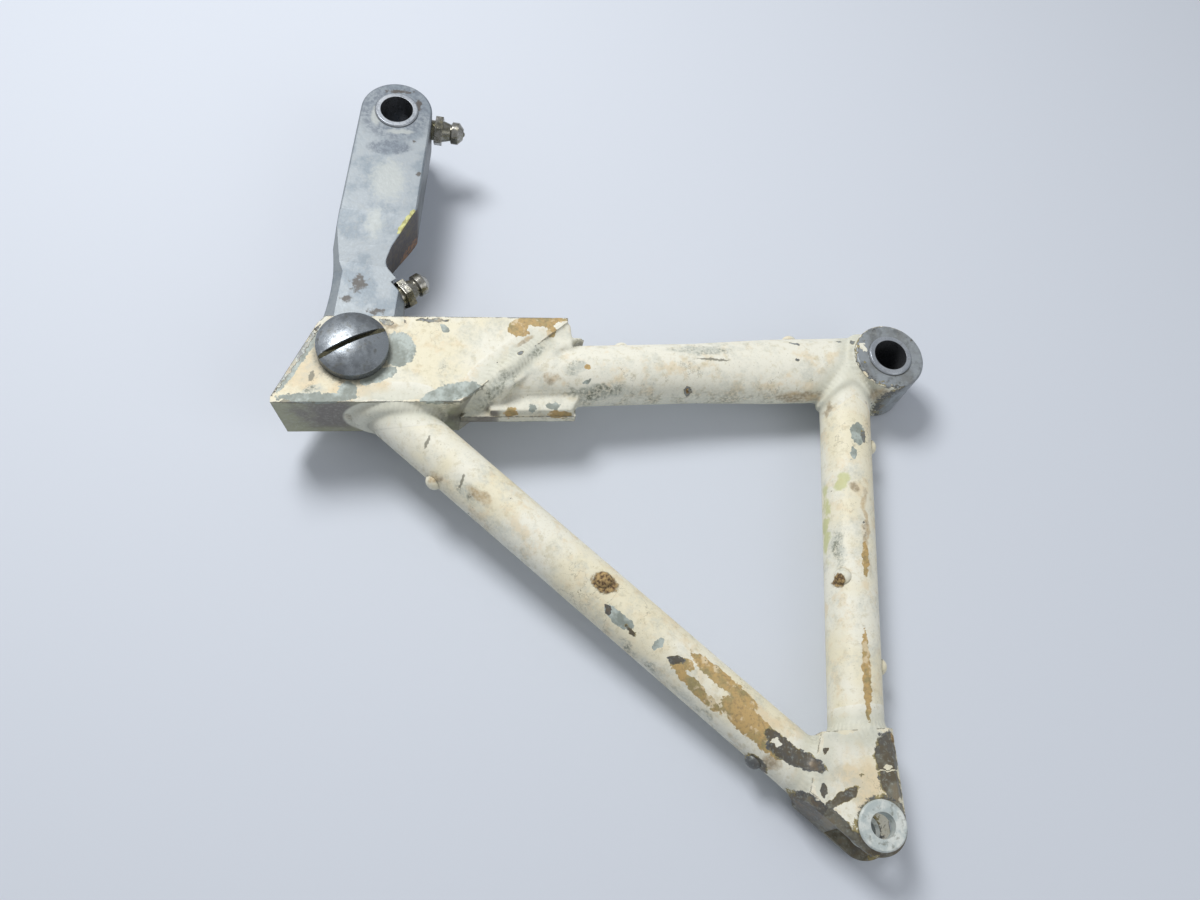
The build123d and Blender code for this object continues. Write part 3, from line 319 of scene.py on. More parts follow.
# Cream paint that stays as islands
ISLANDS = (
    (-103.1, 8.3, 9.0, 1.9, 1.2, 2.0, 0.0),
    (-95.2, 9.6, 9.0, 2.4, 1.2, 2.0, 25.0),
    (-49.6, -106.8, 7.0, 1.5, 0.8, 3.0, -30.0),
    (-58.4, -104.4, 7.0, 2.4, 0.9, 3.0, -40.0),
    (-65.4, -91.0, 7.0, 4.0, 0.5, 3.0, -46.0),
    (-22.2, -114.4, 7.5, 1.0, 0.6, 2.0, 0.0),
    (-22.6, -115.3, 7.5, 6.0, 0.16, 2.0, 0.0),
    (-20.2, -122.3, 7.5, 0.5, 0.9, 2.0, 0.0),
    (-7.6, 3.0, 9.5, 0.9, 1.6, 1.0, 20.0),
)

# Rust
RUSTED = (
    (-89.0, -64.9, 7.5, 4.0, 3.0, 6.0, -25.0),
    (-19.0, -107.5, 7.0, 1.3, 1.6, 2.0, 0.0),
    (-25.8, -65.8, 6.0, 1.6, 2.1, 4.0, 0.0),
    (-60.0, -8.4, 4.0, 0.5, 0.5, 3.0, 0.0),
    (-39.8, -121.6, 2.0, 4.5, 1.4, 4.0, -44.4),
)

# Thin dark cracks and scratches, and a ring of painted shadow round the pin's head
CRACKS_AND_HEAD_SHADOW = (
    (-55.6, -101.4, 7.0, 4.6, 0.45, 3.0, -44.0),
    (-121.1, -11.6, 9.0, 4.8, 0.35, 2.0, 39.2),
    (-127.8, -14.1, 9.0, 3.4, 0.4, 2.0, 0.0),
    (-163.1, -13.9, 9.0, 9.5, 0.5, 1.0, 0.0),
    (-52.6, -0.7, 7.5, 5.5, 0.4, 3.0, -4.0),
    (-124.4, -36.1, 7.0, 0.5, 2.4, 3.0, -20.0),
    (-133.2, -24.6, 7.0, 0.5, 1.9, 3.0, -25.0),
    # Painted shadow: a dark ring round the pin's head
    (-152.1, 1.5, 9.0, 10.5, 10.5, 1.2, 0.0),
    (-176.4, -14.0, 0.0, 1.0, 1.2, 8.5, 0.0),
    (-162.9, -6.1, 9.0, 0.7, 1.7, 2.0, -14.0),
)

# Brown and ochre stains over the paint
STAINED = (
    (-26.2, -9.1, 2.0, 8.0, 1.4, 3.0, 0.0),
    (-19.3, -14.6, 4.5, 3.0, 1.0, 3.0, 76.0),
    (-98.9, -6.3, 9.0, 3.4, 1.2, 3.0, -10.0),
    (-17.0, -39.7, 7.0, 1.4, 2.4, 3.0, 0.0),
    (-15.8, -52.0, 6.0, 14.0, 1.1, 3.0, 82.0),
    (-57.5, -96.1, 7.0, 5.0, 1.2, 3.0, -40.0),
    (-120.3, -39.8, 7.0, 4.6, 2.0, 4.0, -44.0),
    (-131.7, -33.6, 4.0, 2.0, 1.5, 4.0, 0.0),
    (-50.6, -110.9, 3.0, 3.0, 1.5, 4.0, -44.0),
    (-150.2, -12.6, 0.0, 7.0, 2.0, 3.0, 0.0),
    (-106.0, 4.6, 9.0, 3.4, 1.0, 2.0, 25.0),
    (-143.6, 9.4, 9.0, 4.2, 1.2, 2.0, -12.0),
    (-2.0, -10.2, 4.0, 6.5, 2.2, 5.0, 0.0),
)

# Grey mottled smears
SMEARED = (
    (-81.8, -84.6, 3.0, 14.0, 2.6, 4.0, -44.0),
    (-69.6, -96.6, 3.0, 9.0, 2.4, 4.0, -44.0),
    (-92.4, -3.4, 8.5, 3.4, 2.2, 3.0, 0.0),
    (-113.2, -8.2, 8.0, 7.0, 2.6, 3.0, 39.2),
    (-104.5, 0.2, 8.0, 6.0, 1.4, 3.0, 36.0),
    (-163.0, -11.0, 9.0, 4.0, 1.6, 2.0, 20.0),
    (-120.0, -13.2, 4.0, 6.0, 2.0, 5.0, 20.0),
    (-85.2, -8.7, 4.0, 12.0, 2.4, 4.0, 0.0),
    (-122.4, -38.7, 7.0, 5.0, 2.4, 4.0, -44.0),
    (-24.8, -56.4, 7.0, 8.0, 2.2, 4.0, 82.0),
    (-55.9, 2.5, 7.0, 10.0, 2.0, 4.0, 0.0),
    (-154.4, -5.6, 9.0, 2.2, 2.4, 2.0, 0.0),
)

# Peach-tinted paint
WARMED = (
    (-165.0, -5.0, 9.0, 9.0, 8.0, 3.0, 0.0),
    (-152.0, -11.0, 9.0, 12.0, 4.0, 3.0, 0.0),
    (-30.0, -117.0, 7.5, 10.0, 10.0, 3.0, 0.0),
    (-52.0, -100.0, 7.0, 9.0, 3.0, 4.0, -44.0),
)

# Yellow-green primer on the cross tube's inner side
GREENED = (
    (-25.8, -47.7, 3.0, 13.0, 1.6, 5.0, 82.0),
    (-20.6, -37.6, 7.0, 3.0, 2.4, 4.0, 82.0),
)

# Dirt packed in the pin's slot
PIN_SLOT = ((-152.4, 2.0, 12.1, 12.5, 0.95, 1.5, 26.6),)

# The bores of the pivot's and the link's bushes, over any depth, dark inside with painted shade
SHADED_BORES = ((0.0, 0.0, 0.0, 4.9, 4.9, 4000.0, 0.0), (-140.34, 83.67, 0.0, 4.9, 4.9, 4000.0, 0.0))

# The link arm's eye, rubbed places, chip, notch with its painted shade, orange stain and smudges
ARM_EYE = ((-140.3, 83.7, 8.8, 12.5, 12.5, 5.0, 0.0), (-142.4, 70.0, 8.8, 7.0, 3.0, 3.0, 0.0))
ARM_PALE = (
    (-146.6, 81.5, 8.8, 1.6, 4.6, 1.5, 0.0),
    (-139.5, 75.8, 8.8, 5.0, 1.2, 1.5, 0.0),
    (-143.0, 58.0, 8.8, 6.0, 9.0, 2.0, 0.0),
    (-147.0, 42.0, 8.8, 3.5, 8.0, 2.0, -10.0),
)
ARM_CHIP = ((-138.0, 43.6, 8.8, 5.2, 0.9, 3.0, 58.0), (-136.4, 43.4, 3.0, 3.0, 1.4, 3.0, 58.0))
ARM_NOTCH_SHADE = ((-138.4, 41.8, 0.0, 13.0, 3.0, 16.0, 58.0), (-143.4, 31.0, 0.0, 4.0, 4.5, 14.0, 0.0))
ARM_ORANGE = ((-136.0, 44.6, -6.5, 7.0, 3.0, 3.0, 58.0),)
ARM_SMUDGES = (
    (-154.6, 19.8, 5.7, 1.8, 1.5, 3.0, 0.0),
    (-146.4, 15.6, 5.7, 3.6, 1.2, 3.0, 0.0),
    (-151.0, 24.5, 5.7, 3.0, 4.0, 3.0, 0.0),
    (-135.1, 72.1, 8.8, 0.9, 0.9, 2.0, 0.0),
    (-134.4, 60.5, 8.8, 0.9, 1.2, 2.0, 0.0),
    (-133.8, 86.0, 8.8, 1.0, 3.0, 2.0, 0.0),
    (-133.4, 50.0, 8.0, 0.9, 3.6, 3.0, 0.0),
    (-140.0, 91.0, 8.8, 5.0, 0.9, 2.0, 0.0),
)

# Metals: base, shade and dirt colours (the dirt colour is also painted shade in corners), sizes of the
# broad and the fine mottling, range of roughness, how metallic and how dirty they are, and where dirt
# fills a slot or painted shade darkens a bore
METALS = {
    "pin_steel": {
        "colours": ((0.30, 0.33, 0.36), (0.17, 0.185, 0.20), (0.07, 0.065, 0.04)),
        "sizes": (9.0, 2.0),
        "roughness": (0.22, 0.42),
        "metallic": 0.6,
        "dirty": 0.6,
        "slot": PIN_SLOT,
    },
    "nut_steel": {
        "colours": ((0.20, 0.21, 0.22), (0.13, 0.135, 0.13), (0.16, 0.13, 0.07)),
        "sizes": (8.0, 2.0),
        "roughness": (0.3, 0.5),
        "metallic": 0.45,
        "dirty": 0.6,
    },
    "bush_steel": {
        "colours": ((0.47, 0.50, 0.54), (0.36, 0.39, 0.43), (0.10, 0.09, 0.08)),
        "sizes": (7.0, 1.6),
        "roughness": (0.25, 0.42),
        "metallic": 0.5,
        "dirty": 0.35,
        "shaded_bores": SHADED_BORES,
    },
    "zinc_plate": {
        "colours": ((0.74, 0.77, 0.73), (0.50, 0.56, 0.55), (0.17, 0.17, 0.13)),
        "sizes": (3.5, 1.6),
        "roughness": (0.4, 0.6),
        "metallic": 0.15,
        "dirty": 0.7,
    },
    "yellow_plate": {
        "colours": ((0.40, 0.39, 0.36), (0.19, 0.185, 0.15), (0.17, 0.15, 0.05)),
        "sizes": (4.0, 1.4),
        "roughness": (0.15, 0.35),
        "metallic": 0.85,
        "dirty": 0.6,
    },
}
METAL_NODES = {
    "pin_steel": ("link_pin",),
    "nut_steel": ("link_pin_washer", "link_pin_nut", "link_pin_cotter"),
    "bush_steel": ("pivot_bush", "link_outer_bush", "link_inner_bush"),
    "zinc_plate": ("clevis_upper_bush", "clevis_lower_bush"),
    "yellow_plate": (
        "outer_grease_fitting", "inner_grease_fitting", "outer_grease_ball", "inner_grease_ball",
    ),
}


class Graph:
    """One material's nodes, built by short calls whose arguments are numbers or other nodes' outputs."""

    def __init__(self, name):
        self.material = bpy.data.materials.new(name)
        self.material.use_nodes = True
        self.tree = self.material.node_tree
        self.tree.nodes.clear()
        self.place = self.node("ShaderNodeTexCoord").outputs["Object"]

    def node(self, kind, **settings):
        made = self.tree.nodes.new(kind)
        for key, value in settings.items():
            setattr(made, key, value)
        return made

    def feed(self, socket, value):
        if isinstance(value, bpy.types.NodeSocket):
            self.tree.links.new(value, socket)
        elif isinstance(value, tuple) and len(value) == 3 and socket.type == "RGBA":
            socket.default_value = (*value, 1.0)
        else:
            socket.default_value = value

    def math(self, operation, a, b=0.0):
        made = self.node("ShaderNodeMath", operation=operation)
        self.feed(made.inputs[0], a)
        self.feed(made.inputs[1], b)
        return made.outputs[0]

    def plus(self, a, b):
        return self.math("ADD", a, b)

    def minus(self, a, b):
        return self.math("SUBTRACT", a, b)

    def times(self, a, b):
        return self.math("MULTIPLY", a, b)

    def most(self, a, b):
        return self.math("MAXIMUM", a, b)

    def least(self, a, b):
        return self.math("MINIMUM", a, b)

    def noise(self, size, detail, roughness, seed):
        """Noise with features of a size in millimetres, from 0 to 1."""
        made = self.node("ShaderNodeTexNoise", noise_dimensions="4D")
        self.feed(made.inputs["Vector"], self.place)
        self.feed(made.inputs["W"], seed)
        self.feed(made.inputs["Scale"], 1.0 / (size * MM))
        self.feed(made.inputs["Detail"], detail)
        self.feed(made.inputs["Roughness"], roughness)
        return made.outputs[0]

    def step(self, value, low, high):
        """0 below low, 1 above high, smooth in between."""
        made = self.node("ShaderNodeMapRange", interpolation_type="SMOOTHSTEP")
        self.feed(made.inputs["Value"], value)
        self.feed(made.inputs["From Min"], low)
        self.feed(made.inputs["From Max"], high)
        return made.outputs[0]

    def mix(self, factor, a, b):
        """A colour between a and b."""
        made = self.node("ShaderNodeMix", data_type="RGBA")
        self.feed(made.inputs[0], factor)
        self.feed(made.inputs[6], a)
        self.feed(made.inputs[7], b)
        return made.outputs[2]

    def blend(self, factor, a, b):
        """A number between a and b."""
        made = self.node("ShaderNodeMix", data_type="FLOAT")
        self.feed(made.inputs[0], factor)
        self.feed(made.inputs[2], a)
        self.feed(made.inputs[3], b)
        return made.outputs[0]

    def moved_place(self, amount, size):
        """The place moved about by noise, so that the borders of what lies there come out ragged."""
        wobble = self.node("ShaderNodeTexNoise")
        self.feed(wobble.inputs["Vector"], self.place)
        self.feed(wobble.inputs["Scale"], 1.0 / (size * MM))
        self.feed(wobble.inputs["Detail"], BORDER_DETAIL)
        centred = self.node("ShaderNodeVectorMath", operation="SUBTRACT")
        self.feed(centred.inputs[0], wobble.outputs["Color"])
        centred.inputs[1].default_value = (0.5, 0.5, 0.5)
        scaled = self.node("ShaderNodeVectorMath", operation="SCALE")
        self.feed(scaled.inputs[0], centred.outputs[0])
        self.feed(scaled.inputs["Scale"], amount * MM)
        moved = self.node("ShaderNodeVectorMath", operation="ADD")
        self.feed(moved.inputs[0], self.place)
        self.feed(moved.inputs[1], scaled.outputs[0])
        return moved.outputs[0]

    def spots(self, table, place):
        """1 in the middle of each listed place, 0 at its edge and below 0 outside."""
        field = 3.0
        for x, y, z, long, wide, deep, turn in table:
            made = self.node("ShaderNodeMapping", vector_type="TEXTURE")
            self.feed(made.inputs["Vector"], place)
            made.inputs["Location"].default_value = (x * MM, y * MM, z * MM)
            made.inputs["Rotation"].default_value = (0.0, 0.0, radians(turn))
            made.inputs["Scale"].default_value = (long * MM, wide * MM, deep * MM)
            length = self.node("ShaderNodeVectorMath", operation="LENGTH")
            self.feed(length.inputs[0], made.outputs[0])
            field = self.least(field, length.outputs["Value"])
        return self.minus(1.0, field) if table else -2.0

    def facing(self, direction):
        """How much the surface faces a direction, from -1 to 1."""
        normal = self.node("ShaderNodeTexCoord").outputs["Normal"]
        dot = self.node("ShaderNodeVectorMath", operation="DOT_PRODUCT")
        self.feed(dot.inputs[0], normal)
        dot.inputs[1].default_value = Vector(direction).normalized()
        return dot.outputs["Value"]

    def hollows(self):
        """1 in the small grooves of a dense skin, 0 on its ridges."""
        geometry = self.node("ShaderNodeNewGeometry")
        return self.minus(1.0, self.step(geometry.outputs["Pointiness"], 0.44, 0.52))

    def rounded(self, radius):
        """Normal of the surface with its edges rounded off by a radius in millimetres."""
        bevel = self.node("ShaderNodeBevel", samples=SEARCH_SAMPLES)
        self.feed(bevel.inputs["Radius"], radius * MM)
        return bevel.outputs[0]

    def edges(self, radius):
        """How sharply the surface turns within a radius in millimetres: 0 on a flat, more at an edge."""
        plain = self.node("ShaderNodeNewGeometry")
        dot = self.node("ShaderNodeVectorMath", operation="DOT_PRODUCT")
        self.feed(dot.inputs[0], self.rounded(radius))
        self.feed(dot.inputs[1], plain.outputs["Normal"])
        return self.minus(1.0, dot.outputs["Value"])

    def crevice(self, distance):
        """How shut in the surface is within a distance in millimetres: 0 in the open, 1 in a corner."""
        made = self.node("ShaderNodeAmbientOcclusion", samples=SEARCH_SAMPLES)
        self.feed(made.inputs["Distance"], distance * MM)
        return self.minus(1.0, made.outputs["AO"])

    def bump(self, height, distance, normal):
        made = self.node("ShaderNodeBump")
        self.feed(made.inputs["Height"], height)
        self.feed(made.inputs["Distance"], distance * MM)
        self.feed(made.inputs["Strength"], 1.0)
        self.feed(made.inputs["Normal"], normal)
        return made.outputs[0]

    def finish(self, colour, metallic, roughness, normal=None):
        shader = self.node("ShaderNodeBsdfPrincipled")
        self.feed(shader.inputs["Base Color"], colour)
        self.feed(shader.inputs["Metallic"], metallic)
        self.feed(shader.inputs["Roughness"], roughness)
        if normal is not None:
            self.feed(shader.inputs["Normal"], normal)
        output = self.node("ShaderNodeOutputMaterial")
        self.tree.links.new(shader.outputs[0], output.inputs["Surface"])
        return self.material


def surface_of(mesh):
    """A mesh as a tree that finds the surface nearest to a point."""
    return BVHTree.FromPolygons([v.co for v in mesh.vertices], [p.vertices for p in mesh.polygons])


def near_places(table, surface):
    """The listed places that touch a surface."""
    rows = []
    for row in table:
        centre = Vector(row[:3]) * MM
        if surface.find_nearest(centre, max(row[3:6]) * MM)[0] is not None:
            rows.append(row)
    return rows


class Paint(Graph):
    """Old cream paint over undercoat, primer and steel, with the listed damage that a surface has."""

    def __init__(self, name, surface, weld, look):
        super().__init__(name)
        self.surface = surface
        self.look = look
        self.near = self.moved_place(*CHIP_BORDER)
        self.far = self.moved_place(*STAIN_BORDER)
        self.fine = self.noise(*FINE_NOISE)
        self.medium = self.noise(*MEDIUM_NOISE)
        self.broad = self.noise(*BROAD_NOISE)
        self.scattered = self.noise(*CHIP_NOISE)
        self.rough_edge = self.times(self.minus(self.fine, 0.5), 0.5)
        self.bead = None
        if weld:
            self.bead = self.node("ShaderNodeAttribute", attribute_name="bead").outputs["Fac"]

    def marks(self, table, place):
        """The listed places on this surface, as a field that is above 0 inside them."""
        return self.spots(near_places(table, self.surface), place)

    def coat(self):
        """The cream paint: paler, warmer and peach-tinted areas, sandy mottling and greyer beads."""
        paint = self.mix(self.step(self.broad, 0.42, 0.60), PALE_CREAM, self.look["cream"])
        paint = self.mix(self.times(self.step(self.medium, 0.50, 0.66), 0.60), paint, WARM_CREAM)
        places = near_places(WARMED, self.surface)
        if places:
            wavy = self.minus(self.times(self.medium, 2.0), 1.0)
            warm = self.step(self.plus(self.spots(places, self.far), wavy), 0.0, 0.6)
            paint = self.mix(self.times(warm, 0.85), paint, WARM_CREAM)
        sand = self.step(self.noise(*SAND_NOISE), 0.50, 0.66)
        paint = self.mix(self.times(sand, self.blend(self.medium, 0.10, 0.85)), paint, SAND)
        if self.bead:
            paint = self.mix(self.times(self.bead, 0.75), paint, WELD_PAINT)
        return paint

    def dirtied_and_underside_shaded(self, paint):
        """The paint under grey and olive dirt, a little anywhere and more in the smears, and under
        mottled painted shade on faces that look down or to the front.
        """
        mottle = self.step(self.noise(*MOTTLE_NOISE), 0.48, 0.64)
        # Painted shade: grey, mottled, on faces that look down or to the front
        underside_shade_mask = self.times(self.step(self.facing(FRONT_AND_BELOW), 0.12, 0.95), self.look["underside_shade"])
        smear = self.times(self.step(self.marks(SMEARED, self.far), -0.25, 0.45), 0.95)
        smear_and_underside_shade = self.most(underside_shade_mask, smear)
        dirt_and_shade = self.most(self.times(mottle, 0.55), smear_and_underside_shade)
        dirt_and_shade = self.times(dirt_and_shade, self.blend(self.step(self.fine, 0.36, 0.60), 0.45, 1.0))
        paint = self.mix(dirt_and_shade, paint, GREY_PAINT)
        # Olive dirt in the smears, and olive painted shade on faces that look down or to the front
        deep = self.times(smear_and_underside_shade, self.step(self.medium, 0.44, 0.66))
        paint = self.mix(self.times(deep, self.step(self.fine, 0.42, 0.58)), paint, OLIVE_GRIME_AND_SHADE)
        specks = self.step(self.noise(*SPECK_NOISE), 0.60, 0.72)
        return self.mix(self.times(specks, 0.32), paint, GRIME_AND_SHADE)

    def front_dirtied_and_shaded(self, paint):
        """The paint under the olive and purple dirt and painted shade of the fitting's front faces."""
        places = near_places(FRONTED_AND_SHADED, self.surface)
        if not places:
            return paint
        # Painted shade with dirt: olive and purple on faces that look to the front
        front_dirt_and_shade = self.step(self.spots(places, self.far), 0.0, 0.3)
        front_dirt_and_shade = self.times(front_dirt_and_shade, self.least(self.blend(self.broad, 0.8, 1.1), 1.0))
        front_dirt_and_shade = self.times(front_dirt_and_shade, self.step(self.facing(FRONT), 0.55, 0.85))
        if self.bead:
            front_dirt_and_shade = self.times(front_dirt_and_shade, self.minus(1.0, self.step(self.bead, 0.55, 0.95)))
        purple = self.plus(self.spots(PURPLED, self.far), self.times(self.medium, 1.6))
        colour = self.mix(self.step(purple, 0.25, 1.25), FRONT_GRIME_AND_SHADE, PURPLE_GRIME_AND_SHADE)
        colour = self.mix(self.times(self.step(self.fine, 0.45, 0.70), 0.30), colour, GREY_PAINT)
        return self.mix(front_dirt_and_shade, paint, colour)

    def greened(self, paint):
        """The paint where yellow-green primer comes through."""
        places = near_places(GREENED, self.surface)
        if not places:
            return paint
        green = self.plus(self.spots(places, self.far), self.times(self.fine, 0.4))
        return self.mix(self.times(self.step(green, 0.1, 0.5), 0.75), paint, YELLOW_GREEN)

    def stained(self, paint):
        """The paint soaked with ochre and brown."""
        stain = self.plus(self.marks(STAINED, self.far), self.times(self.medium, 0.8))
        strength = self.blend(self.step(self.fine, 0.30, 0.65), 0.35, 0.75)
        stain = self.times(self.step(stain, 0.25, 0.85), strength)
        return self.mix(stain, paint, self.mix(self.step(self.medium, 0.42, 0.60), OCHRE, BROWN))

    def cracked_and_head_shadowed(self, paint):
        """The paint with the listed dark cracks and the painted shadow round the pin's head, and
        hair-thin cracks anywhere.
        """
        crack_and_head_shadow = self.step(self.plus(self.marks(CRACKS_AND_HEAD_SHADOW, self.near), self.rough_edge), -0.1, 0.2)
        hair = self.math("ABSOLUTE", self.minus(self.noise(*HAIR_NOISE), 0.5))
        hair = self.minus(1.0, self.step(hair, 0.002, 0.006))
        hair = self.times(hair, self.times(self.step(self.broad, 0.56, 0.62), 0.40))
        return self.mix(self.most(self.times(crack_and_head_shadow, 0.85), hair), paint, GRIME_AND_SHADE)

    def wear(self):
        """How far the paint is worn away: in the bare places, at edges and in small chips anywhere; in
        the clevis's gap, bare steel stands for painted shade.
        """
        chips = self.times(self.minus(self.scattered, 0.70), 6.0)
        worn = self.times(self.edges(0.7), self.times(self.step(self.scattered, 0.42, 0.62), 9.0))
        worn = self.minus(worn, 0.30)
        gone = self.most(self.marks(BARE_AND_GAP_SHADE, self.near), self.most(chips, worn))
        return self.plus(gone, self.rough_edge)

    def undercoat(self):
        colour = self.mix(self.step(self.medium, 0.42, 0.60), UNDERCOAT, PALE_UNDERCOAT)
        return self.mix(self.times(self.step(self.fine, 0.48, 0.66), 0.35), colour, GRIME_AND_SHADE)

    def primer(self):
        colour = self.mix(self.step(self.medium, 0.44, 0.62), PRIMER, OLIVE_PRIMER)
        colour = self.mix(self.times(self.step(self.fine, 0.46, 0.66), 0.55), colour, BROWN)
        return self.mix(self.times(self.step(self.scattered, 0.54, 0.64), 0.8), colour, WARM_CREAM)

    def steel(self):
        colour = self.mix(self.step(self.medium, 0.42, 0.62), *self.look["steels"])
        colour = self.mix(self.times(self.step(self.scattered, 0.50, 0.66), 0.55), colour, DARK_STEEL)
        colour = self.mix(self.times(self.step(self.fine, 0.52, 0.66), 0.35), colour, PALE_UNDERCOAT)
        rusty = self.times(self.step(self.medium, 0.52, 0.64), self.look["steel_rust"])
        return self.mix(rusty, colour, BROWN)

    def shaded_in_corners(self, colour):
        """The finished colours with mottled painted shade in the corners and in the grooves of the
        beads.
        """
        # Painted shade: darker where the surface is shut in, and in the beads' grooves
        corner_and_groove_shade = self.times(self.step(self.crevice(2.5), 0.10, 0.45), self.step(self.medium, 0.25, 0.55))
        if self.bead:
            corner_and_groove_shade = self.most(corner_and_groove_shade, self.times(self.hollows(), 0.55))
        return self.mix(self.times(corner_and_groove_shade, 0.65), colour, GRIME_AND_SHADE)

    def relief(self, show_steel, rust):
        """Normal with orange peel, the thickness of the paint at a chip, and the rust's crust."""
        height = self.minus(self.times(self.noise(*PEEL_NOISE), 0.5), show_steel)
        height = self.plus(height, self.times(rust, self.times(self.fine, 2.4)))
        return self.bump(height, PAINT_RELIEF, self.rounded(PAINT_EDGE))

    def whole(self):
        """The material: the paint, then each coat under it where it shows, then rust and painted shade
        in the corners.
        """
        kept = self.times(self.step(self.marks(ISLANDS, self.near), -0.05, 0.1), 3.0)
        gone = self.minus(self.wear(), kept)
        primed = self.minus(self.plus(self.marks(PRIMED, self.near), self.rough_edge), kept)
        flaked = self.minus(self.plus(self.marks(UNDERCOATED, self.near), self.rough_edge), kept)
        show_steel = self.step(gone, 0.06, 0.12)
        rim = self.mix(self.step(self.medium, 0.45, 0.55), OLIVE_PRIMER, DARK_STEEL)
        rust = self.step(self.plus(self.marks(RUSTED, self.near), self.rough_edge), 0.0, 0.25)
        rust_colour = self.mix(self.step(self.fine, 0.38, 0.62), DARK_RUST, OCHRE)

        colour = self.cracked_and_head_shadowed(self.stained(self.greened(self.front_dirtied_and_shaded(self.dirtied_and_underside_shaded(self.coat())))))
        colour = self.mix(self.step(flaked, 0.0, 0.07), colour, self.undercoat())
        colour = self.mix(self.step(primed, 0.0, 0.07), colour, self.primer())
        colour = self.mix(self.step(gone, -0.06, 0.0), colour, rim)
        colour = self.mix(show_steel, colour, self.steel())
        colour = self.shaded_in_corners(self.mix(rust, colour, rust_colour))

        metallic = self.times(show_steel, self.minus(0.35, self.times(rust, 0.35)))
        roughness = self.blend(show_steel, self.blend(self.fine, 0.40, 0.68), 0.42)
        roughness = self.blend(rust, roughness, 0.9)
        return self.finish(colour, metallic, roughness, self.relief(show_steel, rust))


def worn_paint(name, surface, weld=False):
    """The paint of a node or a weld skin."""
    look = {**PLAIN_LOOK, **(SKIN_LOOK if weld else {}), **LOOKS.get(name, {})}
    return Paint(name + "_paint", surface, weld, look).whole()


def worn_metal(name, colours, sizes, roughness, metallic, dirty, slot=(), shaded_bores=()):
    """Bare metal in a base, a shade and a dirt colour, with dirt packed in a slot, painted shade in the
    dirt colour in its corners, and near-black painted shade in its bores.
    """
    g = Graph(name)
    base, shade, dirt_and_shade = colours
    broad = g.noise(sizes[0], 4.0, 0.6, 1.0)
    fine = g.noise(sizes[1], 5.0, 0.65, 6.0)
    grain = g.noise(*GRAIN_NOISE)
    colour = g.mix(g.step(broad, 0.42, 0.60), base, shade)
    colour = g.mix(g.times(g.step(fine, 0.52, 0.68), dirty), colour, dirt_and_shade)
    colour = g.mix(g.times(g.step(g.edges(0.5), 0.02, 0.2), 0.6), colour, base)
    # Painted shade: the dirt colour where the surface is shut in
    colour = g.mix(g.times(g.step(g.crevice(1.2), 0.2, 0.65), 0.8), colour, dirt_and_shade)
    # Painted shade: near-black inside the bores, deeper where shut in
    if shaded_bores:
        inside = g.step(g.spots(shaded_bores, g.place), 0.0, 0.02)
        inside = g.times(inside, g.blend(g.step(g.crevice(8.0), 0.3, 0.7), 0.75, 0.97))
        colour = g.mix(inside, colour, BORE_SHADE)
    rough = g.blend(g.step(fine, 0.35, 0.7), *roughness)
    if slot:
        filled = g.step(g.spots(slot, g.place), 0.0, 0.08)
        colour = g.mix(filled, colour, g.mix(g.step(grain, 0.4, 0.6), SLOT_OLIVE, SLOT_BLACK))
        rough = g.blend(filled, rough, 0.9)
        metallic = g.blend(filled, metallic, 0.0)
    height = g.plus(g.times(grain, 0.35), g.times(fine, 0.65))
    return g.finish(colour, metallic, rough, g.bump(height, METAL_RELIEF, g.rounded(METAL_EDGE)))


